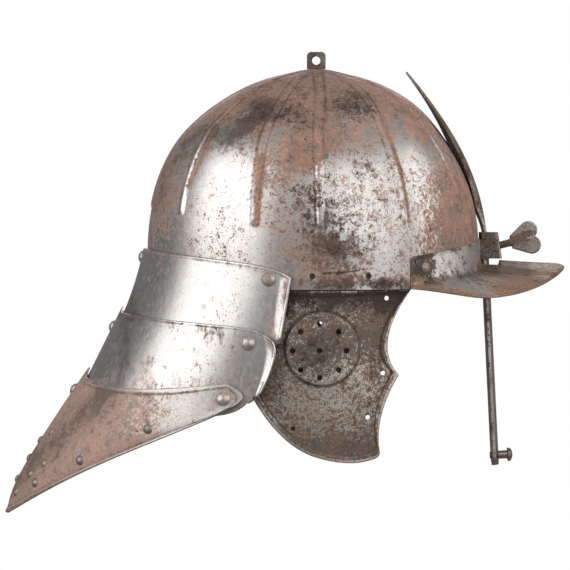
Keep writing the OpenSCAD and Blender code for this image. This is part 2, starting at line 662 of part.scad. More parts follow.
// Height along a row, for a share g of the way from the back to the front end
function row_height(k, s, g, back, front) = k == 2
    ? mix(back, front, g) - tail_dip*(1 - s)*sin(180*pow(g, 0.6)) + hem_arch*s*pow(sin(180*pow(g, 0.7)), 1.3)
    : let (side = mix(side_top_z[k], side_end_z[k], s))
        mix(back, side, pow(g, 0.8)) + (front - side)*pow(g, side_power[k]);

// Point on a lame's inner face at row s and share q of its half length, 1 at the back, on the given side
function lame_x(k, s, x, side) = let (
    b = back_profile(k, s), f = front_edge(k, s), xw = mix(widest_x[k], widest_x[k + 1], s),
    w = mix(width_top[k], width_end[k], s), p = mix(2, power_end[k], s),
    q = clamped((xw - x)/(xw - b.x)), g = clamped((x - b.x)/(f.x - b.x)),
    turn = k == 2 ? 0 : flange_turn*(1 - ease((s - flange_end[k])/0.08))
        *pow(clamped((x - f.x)/(flange_width*(k == 1 ? 1.15 - 0.7*s : 1)) + 1), 1.5),
    y = w*pow(max(0, 1 - pow(q, p)), 1/p) + turn)
    [x, side*y, row_height(k, s, g, b.y, f.y)];
hem_arch = 5.5;
round_steps = 11;
flange_steps = 3;
function lame_row(k, s) = let (
    b = back_profile(k, s), f = front_edge(k, s), xw = mix(widest_x[k], widest_x[k + 1], s),
    p = mix(2, power_end[k], s), edge = f.x - flange_width, whole = acos(pow((xw - edge)/(xw - b.x), p/2)),
    xs = concat([for (i = [1:round_steps]) xw - (xw - b.x)*pow(cos(whole*i/round_steps), 2/p)],
        [for (i = [1:flange_steps]) edge + flange_width*i/flange_steps]), n = len(xs))
    concat([for (i = [n - 1:-1:0]) lame_x(k, s, xs[i], -1)],
        [[b.x, 0, b.y] + (s == 0 ? [cusp[k].x, 0, cusp[k].y] : [0, 0, 0])],
        [for (i = [0:n - 1]) lame_x(k, s, xs[i], 1)]);
lame_steps = [[0, 0.12, 0.28, 0.46, 0.64, 0.78, 0.86, 0.93, 1],
    [0, 0.06, 0.15, 0.3, 0.48, 0.66, 0.82, 0.9, 1],
    [0, 0.12, 0.26, 0.42, 0.58, 0.74, 0.88, 0.965, 1]];
function lame_grid(k) = [for (s = lame_steps[k]) lame_row(k, s)];
function lame_lifts(k) = [for (s = lame_steps[k]) lame_sheet + (k == 2 && s > 0.96 ? hem_height : 0)];

// Place and outward normal on a lame's outer face, right side
function lame_normal(k, s, x) = unit(cross(lame_x(k, s, x - 0.5, -1) - lame_x(k, s, x + 0.5, -1),
    lame_x(k, s + 0.01, x, -1) - lame_x(k, s - 0.01, x, -1)));
function back_normal(k, s) = let (d = unit(back_profile(k, s + 0.01) - back_profile(k, s - 0.01)))
    [d.y, 0, -d.x];
// Row of a lame that passes a given x and z, found by halving
function row_at(k, p, low = 0, high = 1, n = 14) = let (s = (low + high)/2) n == 0 ? s
    : lame_x(k, s, p.x, -1).z > p.y ? row_at(k, p, s, high, n - 1) : row_at(k, p, low, s, n - 1);
module on_row(k, s, x, out = 0) {
    n = lame_normal(k, s, x);
    along(lame_x(k, s, x, -1) + n*(lame_sheet + out), n) children();
}
module on_lame(k, p, out = 0) {
    on_row(k, row_at(k, p), p.x, out) children();
}
module on_back(k, s, out = 0) {
    b = back_profile(k, s);
    n = back_normal(k, s);
    along([b.x, 0, b.y] + n*(lame_sheet + out), n) children();
}

// Pivots of the lames, as x and z, and the slide rivets' rows
pivots = [[-37, 9], [-50.5, -32.5], [-67.1, -68.4]];
slide_s = [0.09, 0.16, 0.115];
slide_r = 2;
slide_head_r = 4.3;
slide_slack = [3, 3.6, 5.8];
washer_r = 4.6;
washer_h = 1;
lift = [lame_1_lift, lame_lift, lame_lift];

// Depth from a lame's outer face to the inner face of the plate behind its slide rivet
function slide_depth(k) = lame_sheet + slide_slack[k]
    + (k == 0 ? nape_gap + bowl_sheet : lap_gap + lame_sheet);

// Slot in the plate behind a lame, along the arc that its slide rivet travels
module slide_slot(k) {
    pivot = pivots[k];
    steps = 4;
    for (i = [0:steps]) translate([pivot.x, 0, pivot.y]) rotate([0, lift[k]*i/steps*1.08, 0])
        translate([-pivot.x, 0, -pivot.y]) on_back(k, slide_s[k])
            translate([0, 0, -slide_depth(k) - over]) {
                cylinder(r = slide_r + 0.35, h = slide_depth(k) + over - lame_sheet - 0.2);
            }
}

module slide_rivet(k) {
    color("#a39a92") on_back(k, slide_s[k], 0.05)
        rivet(slide_head_r, 2.2, slide_r, slide_depth(k) + washer_h, 3, 0.8);
}

module slide_washer(k) {
    color("#7c716a") on_back(k, slide_s[k], 0.05) translate([0, 0, -slide_depth(k) - washer_h]) difference() {
        cylinder(r = washer_r, h = washer_h);
        translate([0, 0, -1]) cylinder(r = slide_r, h = washer_h + 2);
    }
}

// A lame with the hole for its own pivots, its slide rivet and the next lame's pivots and slot
module lame(k) {
    grid = lame_grid(k);
    difference() {
        plate(raised(grid, lame_lifts(k)), grid);
        on_back(k, slide_s[k]) cylinder(r = slide_r, h = over, center = true);
        both_sides() {
            on_lame(k, pivots[k]) cylinder(r = pivot_r + pivot_clearance, h = over, center = true);
            if (k < 2) on_lame(k + 1, pivots[k + 1]) cylinder(r = pivot_r, h = 2*over, center = true);
        }
        if (k < 2) slide_slot(k + 1);
        if (k == 2) tail_rivet_places() cylinder(r = rivet_r, h = over, center = true);
    }
}

module lame_1() { color("#a8a29c") lame(0); }
module lame_2() { color("#aaa49f") lame(1); }
module lame_3() { color("#8b7569") lame(2); }
module lame_1_slide_rivet() { slide_rivet(0); }
module lame_2_slide_rivet() { slide_rivet(1); }
module lame_3_slide_rivet() { slide_rivet(2); }
module lame_1_washer() { slide_washer(0); }
module lame_2_washer() { slide_washer(1); }
module lame_3_washer() { slide_washer(2); }

// Pivot rivets are fast in the inner plate, and the outer plate turns on them
pivot_grip = [5.2, 5.3, 6.4];
module guard_pivots(k) {
    color("#a39a92") both_sides() on_lame(k, pivots[k], head_gap)
        rivet(pivot_head_r, pivot_head_h, pivot_r, pivot_grip[k], 3.4, 0.8);
}
module lame_1_pivots() { guard_pivots(0); }
module lame_2_pivots() { guard_pivots(1); }
module lame_3_pivots() { guard_pivots(2); }

// Rivets of the tail: along its border as row and share of the way from the keel to the front end, beside the
// keel as row and distance in front of it, and on the keel as rows
border_places = [[0.6763, 0.5812], [0.8362, 0.3118], [0.8745, 0.1145]];
keel_side_places = [[0.4289, 4], [0.7096, 15.3], [0.7724, 9.2], [0.8819, 3.9]];
keel_places = [0.5, 0.63, 0.78];
module border_rivet_places() {
    both_sides() for (p = border_places)
        on_row(2, p.x, mix(back_profile(2, p.x).x, front_edge(2, p.x).x, p.y)) children();
}
module keel_rivet_places() {
    both_sides() for (p = keel_side_places) on_row(2, p.x, back_profile(2, p.x).x + p.y) children();
    for (s = keel_places) on_back(2, s) children();
}
module tail_rivet_places() {
    border_rivet_places() children();
    keel_rivet_places() children();
}
module border_rivets() {
    color("#8f8178") border_rivet_places() rivet(tail_head_r, 1.7, rivet_r, lame_sheet + 0.6, 2.4, 0.8);
}
module keel_rivets() {
    color("#8f8178") keel_rivet_places() rivet(tail_head_r - 0.3, 1.5, rivet_r, lame_sheet + 0.6, 2.2, 0.8);
}

// A cheekpiece is a bowed plate whose rings run from the ear roundel to its outline, seen from the right side
ear = [-2.5, -36];
sound_centre = ear + [-1.7, -1.3];
cheek_scale = cheek_drop/111;
function low(p) = [p.x, p.y*cheek_scale];
cheek_front_top = [57.2, cheek_top_z];
cheek_cusp = low([48.5, -53.5]);
cheek_corner = low([36, -105]);
cheek_chin = low([33, -108.3]);
cheek_jaw = low([-6, -107.3]);
cheek_heel = low([-49, -66]);
cheek_back_top = [-30, cheek_top_z];
function curve(a, c, b, n) = [for (i = [0:n - 1]) bezier(a, c, b, i/n)];
function cheek_outline() = concat(
    curve(cheek_front_top, low([29.5, -33.5]), cheek_cusp, 8),
    curve(cheek_cusp, low([31.3, -80.5]), cheek_corner, 8),
    [cheek_corner],
    curve(cheek_chin, low([17, -114.3]), cheek_jaw, 6),
    curve(cheek_jaw, low([-30, -100]), cheek_heel, 7),
    curve(cheek_heel, low([-44, -34]), cheek_back_top, 6),
    [for (i = [0:6]) mix(cheek_back_top, cheek_front_top, i/7)]);
cheek_inset = bowl_sheet + cheek_gap + cheek_sheet;
// Inner face of the right cheekpiece, which follows the bowl in plan and bows outwards in height
function cheek_y(x, z) = (half_width - cheek_inset)
    *sqrt(1 - pow((x + nape_shift)/(half_length - cheek_inset), 2))
    + cheek_bow*sin(180*clamped((cheek_top_z - z)/cheek_drop));
function cheek_at(p, out) = [p.x, -cheek_y(p.x, p.y) - out, p.y];
function cheek_grid(out) = let (rim = cheek_outline()) concat(
    [for (ring = [[0.35, ear_rise], [0.94, ear_rise], [1, 0]])
        [for (p = rim) cheek_at(ear + ring[0]*ear_r*unit(p - ear), out + ring[1])]],
    [for (t = [0.4, 0.75]) [for (p = rim) cheek_at(mix(ear + ear_r*unit(p - ear), p, t), out)]],
    [for (edge = [[border_width + 0.9, 0], [border_width, border_rise], [0, border_rise]])
        [for (p = rim) cheek_at(p - edge[0]*unit(p - ear), out + edge[1])]]);
lining_holes = [[40.4, -3.4], low([37.6, -52.2]), low([27.5, -81]), low([-21.2, -88.1])];
cheek_rivet_z = -5;
cheek_rivet_xs = [strap_x - strap_width/2 + 8, strap_x + strap_width/2 - 8];

module cheekpiece() {
    color("#6b6058") difference() {
        plate(cheek_grid(cheek_sheet), cheek_grid(0), true,
            [cheek_at(ear, cheek_sheet + ear_rise), cheek_at(ear, ear_rise)]);
        for (k = [0:7]) cheek_cut(sound_centre + ear_hole_circle_r*[cos(45*k), sin(45*k)], ear_hole_r);
        cheek_cut(sound_centre, ear_hole_r);
        for (p = lining_holes) cheek_cut(p, lining_hole_r);
        for (x = cheek_rivet_xs) cheek_cut([x, cheek_rivet_z], rivet_r);
    }
}
module cheek_cut(p, r) {
    along(cheek_at(p, 0), cheek_normal(p)) cylinder(r = r, h = 3*over, center = true);
}
function cheek_normal(p) = unit([cheek_y(p.x - 0.5, p.y) - cheek_y(p.x + 0.5, p.y), -1,
    cheek_y(p.x, p.y - 0.5) - cheek_y(p.x, p.y + 0.5)]);
module cheek_rivets() {
    color("#7c716a") for (x = cheek_rivet_xs) let (p = [x, cheek_rivet_z], n = cheek_normal(p))
        along(cheek_at(p, 0) + n*(cheek_sheet + 0.1), n)
            rivet(2.6, 0.6, rivet_r, cheek_sheet + strap_fit + strap_sheet + 0.5, 2.6, 0.8);
}
module cheekpiece_right() { cheekpiece(); }
module cheekpiece_left() { mirror([0, 1, 0]) cheekpiece(); }
module cheek_rivets_right() { cheek_rivets(); }
module cheek_rivets_left() { mirror([0, 1, 0]) cheek_rivets(); }

// Leather hanger: flat on the bowl's inner face above, and on the cheekpiece's inner face below
strap_top_z = 15;
strap_bottom_z = -10;
strap_bend_top_z = 4;
strap_fit = 0.5;
strap_bend_end_z = 2.8;
function strap_on_bowl(x, z) = bowl_point(bowl_angle(x, z), z, -bowl_sheet - plate_fit);
function strap_grid(out) = let (xs = [for (i = [6:-1:0]) strap_x + strap_width*(i/6 - 0.5)])
    concat([for (z = [strap_top_z, 9, strap_bend_top_z]) [for (x = xs) strap_on_bowl(x, z) + [0, out, 0]]],
        [for (z = [strap_bend_end_z, strap_bottom_z]) [for (x = xs) cheek_at([x, z], -strap_fit - out)]]);
module cheek_strap() {
    color("#4a3526") difference() {
        plate(strap_grid(0), strap_grid(strap_sheet));
        on_bowl(strap_x, strap_rivet_z) cylinder(r = rivet_r, h = 3*over, center = true);
        for (x = cheek_rivet_xs) cheek_cut([x, cheek_rivet_z], rivet_r + 0.3);
    }
}
module cheek_strap_right() { cheek_strap(); }
module cheek_strap_left() { mirror([0, 1, 0]) cheek_strap(); }
module strap_rivets() {
    color("#7c716a") both_sides() on_bowl(strap_x, strap_rivet_z, 0.05)
        rivet(2.8, 0.6, rivet_r, bowl_sheet + plate_fit + strap_sheet + 0.5, 2.1, 0.8);
}

skull();
crown_loop();
peak();
peak_rivets();
nasal_bracket();
bracket_rivets();
lining_rivets();
lame_1_pivots();
cheek_strap_right();
cheek_strap_left();
strap_rivets();
nasal();
nasal_knob();
wing_screw();
lame_1();
lame_1_slide_rivet();
lame_1_washer();
lame_2_pivots();
lame_2();
lame_2_slide_rivet();
lame_2_washer();
lame_3_pivots();
lame_3();
lame_3_slide_rivet();
lame_3_washer();
border_rivets();
keel_rivets();
cheekpiece_right();
cheek_rivets_right();
cheekpiece_left();
cheek_rivets_left();
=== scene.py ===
"""Looks of the lobster-tail helmet.

The CAD model gives every piece its place and size. The large sheets are drawn again here from the same
formulas with finer grids and softer edges, and each stands for its CAD node. Lengths are in millimetres
until solid() turns them into metres. +X is the front, -Y the wearer's right side and +Z up.
"""

import math

import bpy
import numpy as np
from mathutils import Matrix, Vector


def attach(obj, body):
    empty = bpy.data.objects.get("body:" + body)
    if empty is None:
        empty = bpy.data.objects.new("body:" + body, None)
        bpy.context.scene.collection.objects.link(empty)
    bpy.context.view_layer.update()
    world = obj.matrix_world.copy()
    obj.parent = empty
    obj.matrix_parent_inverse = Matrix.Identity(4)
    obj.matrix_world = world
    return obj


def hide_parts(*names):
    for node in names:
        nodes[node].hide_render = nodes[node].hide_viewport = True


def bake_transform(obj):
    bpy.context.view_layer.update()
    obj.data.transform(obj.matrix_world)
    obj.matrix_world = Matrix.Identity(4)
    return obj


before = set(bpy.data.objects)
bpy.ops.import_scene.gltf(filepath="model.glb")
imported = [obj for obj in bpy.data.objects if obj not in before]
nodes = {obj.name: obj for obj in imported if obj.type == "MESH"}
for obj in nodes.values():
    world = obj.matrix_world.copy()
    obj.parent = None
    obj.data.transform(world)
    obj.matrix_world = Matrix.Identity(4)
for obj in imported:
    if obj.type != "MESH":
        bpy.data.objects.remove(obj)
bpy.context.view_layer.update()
MM = 0.001
EDGE_REACH = 8.0

# Bowl. Its axis leans back and then forward again between the heights given. Holes are (x, z, radius).
HALF_LENGTH, HALF_WIDTH, CROWN_Z, GIRTH_Z = 112.5, 97.5, 148.0, 25.0
CROWN_POWER, BOWL_SHEET, NAPE_SHIFT = 2.18, 1.5, 3.3
LEAN_BACK, LEAN_BACK_Z, LEAN_FORE, LEAN_FORE_Z = 0.9, (50.0, 100.0), 3.0, (100.0, 135.0)
RIM_SIDE, RIM_FRONT, RIM_BACK = 2.2, 17.0, 12.0
RIM_FRONT_TURN, RIM_BACK_ANGLE, RIM_BACK_TURN = 12.0, 100.0, 25.0
RIB_WIDTH, RIB_HEIGHT, RIB_END, RIB_END_RISE = 6.0, 1.1, 42.5, 14.5
RIBS = [0, 29, 60, 90, 113, 145, 180, 215, 247, 270, 300, 331]
CROWN_RISE, BOSS_STEP = 1.8, 0.17
RIM_HOLES = ((-9.0, 11.0, 1.9), (28.0, 11.0, 1.9))
# Peak and brow band
PEAK_SHEET, PLATE_FIT, BAND_ANGLE, BAND_TOP, BAND_FALL = 1.4, 0.15, 58.0, 35.0, 11.5
CORNER_ANGLE, CORNER_DROP, BROW_X = 1.6, 1.8, HALF_LENGTH - NAPE_SHIFT
PEAK_REACH, PEAK_HALF, ROOT_Z, KEEL_RISE, KEEL_SPREAD, ROOT_FALL = 59.0, 90.0, 11.2, 9.0, 14.0, 8.6
TIP_Z, LOW_Z, TIP_LIP, RIM_CENTRE, RIM_POWER = 15.0, -4.0, 1.7, 50.0, 1.6
GROOVE_IN, GROOVE_HALF, GROOVE_DEPTH = 4.2, 0.5, 0.2
BAND_HOLES = ((58.6, 20.2, 1.0), (101.1, 25.9, 1.1))
# Nasal
BAR_WIDTH, BAR_RIDGE, BAR_EDGE, BAR_LEAN, BAR_LENGTH = 14.0, 4.8, 2.0, 0.05, 155.0
LEAF_LENGTH, LEAF_WIDTH, LEAF_SHEET, LEAF_DISH, LEAF_SWEEP = 127.0, 33.0, 1.6, 3.0, 36.12
LEAF_ROOT, LEAF_ROOT_DISH, LEAF_START_DISH, LEAF_WIDEST, LEAF_STEP = 0.17, 4.1, 0.4, 0.55, 0.2
SLOT_BACK, SLOT_DEPTH, SLOT_HALF = BROW_X + 1.5, 13.2, BAR_WIDTH/2 + 1.8
SLOT_LOW, SLOT_HIGH = ROOT_Z - 3, 40.0
# Wing screw. Its axis leaves the bracket at the exit, (x, z).
SCREW_R, SCREW_REACH, SCREW_EXIT, SCREW_TILT, SHANK_END = 2.8, 8.5, (123.563, 30.22), 14.5, -7.0
THREAD_PITCH, THREAD_DEPTH = 1.25, 0.55
LOBE_R, LOBE_OFFSET, LOBE_REACH, HEAD_THICK, HEART_ROOT, HEART_SWELL = 6.2, 5.1, 13.5, 3.0, 4.4, 0.55
# Neck guard, from the upper lame to the tail. WIDEST is x where each edge is widest.
LAME_SHEET, SIDE_GAP, LAP_GAP, LAP_DROP, NAPE_GAP, GUARD_TOP, LAP_START = 1.2, 0.6, 2.0, 0.6, 1.5, 28.6, 0.67
LAME_RUN, LAME_DROP, LAME_BOW = [22.4, 31.0, 53.0], [62.6, 62.5, 94.0], [4.7, 0.0, -6.4]
LAME_CUSP, CUSP_REACH, CUSP_COLUMN = [(0.0, 0.0), (1.7, 3.4), (2.9, 4.6)], [1.0, 0.06, 0.12], 7
FLANGE, FLANGE_TURN, FLANGE_END = 7.0, 2.6, [0.8, 0.86, 0.0]
WIDEST = [-NAPE_SHIFT, -25.0, -45.0, -60.0]
WIDTH_TOP = [HALF_WIDTH + SIDE_GAP + k*(LAME_SHEET + SIDE_GAP) + more for k, more in enumerate((0, 0.5, 1.5))]
WIDTH_END = [WIDTH_TOP[0] + 0.5, WIDTH_TOP[1] + 1, WIDTH_TOP[2] + 3.3]
POWER_END = [2.0, 2.0, 1.45]
FRONT_X, FRONT_TOP, FRONT_END = [-22.4, -32.7, -64.0], [10.3, -30.7, -58.5], [-38.0, -72.0, -75.5]
FRONT_LEAN, FOOT_SWEEP, FOOT_START = [8.1, 14.0], [11.5, 5.5], [0.85, 0.8]
HEAD_BACK, HEAD_SHARE = 1.9, 0.15
ROW_LEVEL, ROW_TURN = [(17, -48), (-23, -81)], [8, 12]
TAIL_BULGE, TAIL_NOSE, TAIL_DIP, HEM_HEIGHT, HEM_HALF, HEM_ARCH = 2.7, 9.5, 5.5, 1.0, 1.5, 5.5
# Cheekpieces. The ear, the holes and the outline are (x, z).
CHEEK_SHEET, CHEEK_GAP, CHEEK_TOP, CHEEK_DROP, CHEEK_BOW = 1.3, 2.5, 2.2, 111.0, 4.5
EAR, EAR_R, EAR_RISE, BORDER, BORDER_RISE = (-2.5, -36.0), 24.7, 1.8, 3.6, 0.8
SOUND_SHIFT, SOUND_R, SOUND_HOLE_R, SOUND_HOLES = (-1.7, -1.3), 17.5, 1.8, 8
LINING_HOLES, LINING_HOLE_R = ((40.4, -3.4), (37.6, -52.2), (27.5, -81), (-21.2, -88.1)), 1.5
STRAP_X, STRAP_WIDTH, STRAP_SHEET, STRAP_FIT, STRAP_END = 9.5, 46.0, 2.0, 0.5, -10.0


def mix(a, b, t):
    """The value a share t of the way from a to b."""
    return a + (b - a)*t


def clamped(t):
    """t held between 0 and 1."""
    return np.clip(t, 0.0, 1.0)


def ease(t):
    """The smooth step 3k^2 - 2k^3 of k, which is t held between 0 and 1."""
    k = clamped(t)
    return k*k*(3 - 2*k)


def unit(v):
    """Vectors of length 1 along the last axis."""
    return v/np.maximum(np.linalg.norm(v, axis=-1, keepdims=True), 1e-12)


def stack(*parts):
    """Coordinates put together into points."""
    return np.stack(np.broadcast_arrays(*[np.asarray(p, float) for p in parts]), axis=-1)


def normals(grid, ring=False):
    """Unit normals of a grid: the cross product of the steps along its columns and its rows."""
    along = np.roll(grid, -1, 1) - np.roll(grid, 1, 1) if ring else np.gradient(grid, axis=1)
    return unit(np.cross(along, np.gradient(grid, axis=0)))


def run(grid, axis):
    """Distance along each line of a grid from its first point: the sum of the straight steps."""
    steps = np.linalg.norm(np.diff(grid, axis=axis), axis=-1)
    return np.insert(np.cumsum(steps, axis), 0, 0, axis)


def quads(first, rows, cols, ring=False, flip=False):
    """Four-sided faces of a grid whose points are numbered row by row from first. A ring's columns meet."""
    here = np.arange(cols if ring else cols - 1)
    a = first + np.arange(rows - 1)[:, None]*cols + here
    b = a + (here + 1) % cols - here
    faces = np.stack([a, a + cols, b + cols, b], -1).reshape(-1, 4)
    return faces[:, ::-1] if flip else faces


def strip(one, two):
    """Four-sided faces between two lines of point numbers."""
    return np.stack([one[:-1], two[:-1], two[1:], one[1:]], -1)


def fan(tip, line):
    """Triangles from one point to each step along a line of point numbers."""
    return np.stack([np.full(len(line) - 1, tip), line[:-1], line[1:]], -1)


def solid(name, points, faces):
    """A smooth mesh object of closed faces, turned so that its normals point outwards."""
    mesh = bpy.data.meshes.new(name)
    mesh.from_pydata((np.asarray(points)*MM).tolist(), [], faces)
    mesh.update()
    mesh.calc_loop_triangles()
    corners = np.empty(3*len(mesh.loop_triangles), np.int32)
    mesh.loop_triangles.foreach_get("vertices", corners)
    tri = np.asarray(points)[corners.reshape(-1, 3)]
    if np.einsum("ij,ij->i", tri[:, 0], np.cross(tri[:, 1], tri[:, 2])).sum() < 0:
        mesh.flip_normals()
    mesh.shade_smooth()
    obj = bpy.data.objects.new(name, mesh)
    bpy.context.scene.collection.objects.link(obj)
    return obj


def shell(name, outer, inner, ring=False, crown=None, near=None):
    """A closed mesh between two grids of points. A ring's columns meet; a crown closes its first row.

    near is the outer grid's distance from the sheet's edge. The edge attribute falls from 1 there to 0 at
    EDGE_REACH. The inside attribute is 1 on the inner grid and 0 on the outer one.
    """
    rows, cols = outer.shape[:2]
    start, end = rows*cols, (rows + len(inner))*cols

    def line(first):
        numbers = first + np.arange(cols)
        return np.append(numbers, first) if ring else numbers

    points = [outer.reshape(-1, 3), inner.reshape(-1, 3)]
    faces = [quads(0, rows, cols, ring), quads(start, len(inner), cols, ring, True),
             strip(line(start - cols), line(end - cols))]
    if crown is None:
        faces.append(strip(line(start), line(0)))
    else:
        points.append(np.asarray(crown, float))
        faces += [fan(end, line(0)), fan(end + 1, line(start)[::-1])]
    if not ring:
        left = [np.arange(0, start, cols), np.arange(start, end, cols)]
        right = [numbers + cols - 1 for numbers in left]
        faces += [strip(left[0], left[1]), strip(right[1], right[0])]
    points = np.concatenate(points)
    edge_share, inside = np.zeros(len(points)), np.zeros(len(points))
    inside[start:end] = 1
    if near is not None:
        edge_share[:start] = 1 - clamped(near/EDGE_REACH).ravel()
    made = solid(name, points, [face for group in faces for face in group.tolist()])
    for title, share in (("edge", edge_share), ("inside", inside)):
        made.data.attributes.new(title, "FLOAT", "POINT").data.foreach_set("value", share)
    return made


def rounded(distance, radius):
    """The share of a sheet's thickness left near its edge: a quarter circle from 0.35 to 1 over a radius."""
    k = clamped(np.asarray(distance)/radius)
    return 0.35 + 0.65*np.sqrt(np.maximum(0, 1 - (1 - k)**2))


def rod(radius, length, place, direction):
    """Points and faces of a cylinder centred on a place along a direction, used to cut a hole."""
    sides = 24
    turn = np.array(Vector(direction).normalized().to_track_quat("Z", "Y").to_matrix())
    here = np.arange(sides)
    after = (here + 1) % sides
    a = 2*math.pi*here/sides
    ends = [stack(radius*np.cos(a), radius*np.sin(a), h) @ turn.T + place for h in (-length/2, length/2)]
    faces = np.stack([here, after, sides + after, sides + here], -1).tolist()
    return np.concatenate(ends), faces + [here[::-1].tolist(), (sides + here).tolist()]


def cut(obj, tools):
    """Takes closed tools, each a pair of points and faces, out of an object."""
    for points, faces in tools:
        tool = solid(f"{obj.name} tool", points, faces)
        step = obj.modifiers.new("cut", "BOOLEAN")
        step.operation, step.object, step.solver = "DIFFERENCE", tool, "MANIFOLD"
        apply_step(obj, step)
        bpy.data.objects.remove(tool, do_unlink=True)


def apply_step(obj, step):
    """Bakes one modifier into the object's mesh."""
    graph = bpy.context.evaluated_depsgraph_get()
    baked = bpy.data.meshes.new_from_object(obj.evaluated_get(graph))
    obj.modifiers.remove(step)
    old, obj.data = obj.data, baked
    bpy.data.meshes.remove(old)


# The bowl

def bowl_level(z):
    """Height above the girth as a share of the dome."""
    return clamped((z - GIRTH_Z)/(CROWN_Z - GIRTH_Z))


def bowl_fall(z):
    """How far the plan has shrunk at height z: the superellipse sqrt(1 - level^power)."""
    return np.sqrt(np.maximum(0, 1 - bowl_level(z)**CROWN_POWER))


def bowl_axis(z):
    """x of the bowl's axis at height z: smooth steps back up the wall and forward to the crown."""
    back, fore = [ease((z - low)/(high - low)) for low, high in (LEAN_BACK_Z, LEAN_FORE_Z)]
    return -NAPE_SHIFT - LEAN_BACK*back + LEAN_FORE*fore


def bowl(angle, z, out=0.0):
    """Point of the bowl, an ellipse in plan, at a plan angle and a height, moved out along its normal."""
    a, fall = np.radians(angle), bowl_fall(z)
    point = stack(bowl_axis(z) + HALF_LENGTH*fall*np.cos(a), HALF_WIDTH*fall*np.sin(a), z)
    steep = CROWN_POWER/2*bowl_level(z)**(CROWN_POWER - 1)/(CROWN_Z - GIRTH_Z)
    normal = unit(stack(fall*np.cos(a)/HALF_LENGTH, fall*np.sin(a)/HALF_WIDTH, steep))
    return point + np.asarray(out)[..., None]*normal


def bowl_angle(x, z):
    """Plan angle on the right side at which the bowl passes a given x."""
    return -np.degrees(np.arccos((x - bowl_axis(z))/(HALF_LENGTH*bowl_fall(z))))


def bowl_drills(holes, length):
    """Rods of that length that cut holes square to the bowl's sheet on both sides."""
    drills = []
    for side in (1, -1):
        for x, z, radius in holes:
            angle = bowl_angle(x, z)
            place = bowl(angle, z)
            way = bowl(angle, z, 1.0) - place
            drills.append(rod(radius, length, place*(1, side, 1), way*(1, side, 1)))
    return drills


def rib_end(angle):
    """Height at which a rib ends: a cosine of twice the angle, highest at brow and nape."""
    return RIB_END + RIB_END_RISE*(1 + np.cos(np.radians(2*angle)))/2


def rim_height(angle):
    """Height of the rim: low over the ears, with smooth steps up under the brow band and at the nape."""
    b = np.abs((angle + 180) % 360 - 180)
    front, back = ease((BAND_ANGLE - b)/RIM_FRONT_TURN), ease((b - RIM_BACK_ANGLE)/RIM_BACK_TURN)
    return RIM_SIDE + (RIM_FRONT - RIM_SIDE)*front + (RIM_BACK - RIM_SIDE)*back


def make_skull():
    """The bowl in rows from the crown to the ribs' ends and down to the rim.

    Columns gather at the twelve ribs. A rib is a smooth step of the distance from its line, in half rib
    widths, and fades out below its end. A small boss rises under the crown loop.
    """
    span = 1.75
    across, between = np.linspace(-span, span, 19), np.linspace(0, 1, 25)[1:-1]
    dome = np.concatenate([[0.03, 0.07], np.linspace(0.11, 1, 62)])
    wall = np.concatenate([np.linspace(0, 0.22, 9)[1:], np.linspace(0.22, 1, 26)[1:-1], [0.985, 0.994, 1]])
    step = np.concatenate([dome, 1 + wall])[:, None]
    share = np.minimum(step, 1.0)
    reach = HALF_WIDTH*np.sin(np.radians(78*np.maximum(share, 0.05)))
    spread = np.minimum(6.4, np.degrees((0.35 + 0.65*share)*RIB_WIDTH/2/reach))
    angles, off = [], []
    for here, after in zip(RIBS, RIBS[1:] + [RIBS[0] + 360]):
        angles += [here + spread*across, mix(here + span*spread, after - span*spread, between)]
        off += [np.abs(across), np.full(len(between), 9.0)]
    angles, off = np.concatenate(angles, 1), np.concatenate(off)
    end = rib_end(angles)
    whole = np.arccos(bowl_level(end)**(CROWN_POWER/2))
    on_dome = GIRTH_Z + (CROWN_Z - GIRTH_Z)*np.cos(whole*share)**(2/CROWN_POWER)
    z = np.where(step <= 1, on_dome, mix(end, rim_height(angles), step - 1))
    back = ease((1.12 - off)/0.95)
    fade = ease((z - (end - 1.5) - 1.6*np.minimum(off, 1.2)**2)/2.6)
    rise = RIB_HEIGHT*(0.4 + 0.6*share)*back*fade + CROWN_RISE*ease(1 - share/BOSS_STEP)
    outer = bowl(angles, z, rise)
    inner = outer + BOWL_SHEET*normals(outer, True)
    keep = np.append(np.arange(0, len(step) - 1, 3), len(step) - 1)
    top, peak_z = float(bowl(0, CROWN_Z)[0]), CROWN_Z + CROWN_RISE
    skull = shell("bowl_shell", outer, inner[keep], True, [(top, 0, peak_z), (top, 0, peak_z - BOWL_SHEET)])
    cut(skull, bowl_drills(RIM_HOLES, 12))
    return skull


# The peak

def band_top(angle):
    """Height of the band's upper edge: falls with a power of the angle and is rounded off at both ends."""
    corner = np.maximum(0, np.abs(angle) - (BAND_ANGLE - CORNER_ANGLE))/CORNER_ANGLE
    return BAND_TOP - BAND_FALL*(np.abs(angle)/BAND_ANGLE)**1.35 - CORNER_DROP*corner**2


def root_height(y):
    """Height at which the peak springs from the band: a cusp at the keel and a fall at both ends."""
    end = HALF_WIDTH*math.sin(math.radians(BAND_ANGLE))
    return ROOT_Z + KEEL_RISE*np.exp(-np.abs(y)/KEEL_SPREAD) - ROOT_FALL*(np.abs(y)/end)**8


def rim_point(u):
    """Point of the peak's rim: a superellipse in plan whose height dips at both sides."""
    a = np.radians(85*np.abs(u)**1.15)
    y = PEAK_HALF*np.sin(a)**(2/RIM_POWER)
    low = 0.8*PEAK_HALF
    front = LOW_Z + (TIP_Z - LOW_Z)*np.maximum(0, 1 - (y/low)**1.5)**1.8
    side = LOW_Z + (RIM_SIDE + 0.5 - LOW_Z)*(np.maximum(0, y - low)/(PEAK_HALF - low))**1.5
    x = RIM_CENTRE + (BROW_X + PEAK_REACH - RIM_CENTRE)*np.cos(a)**(2/RIM_POWER)
    return stack(x, np.sign(u)*y, np.where(y < low, front, side))


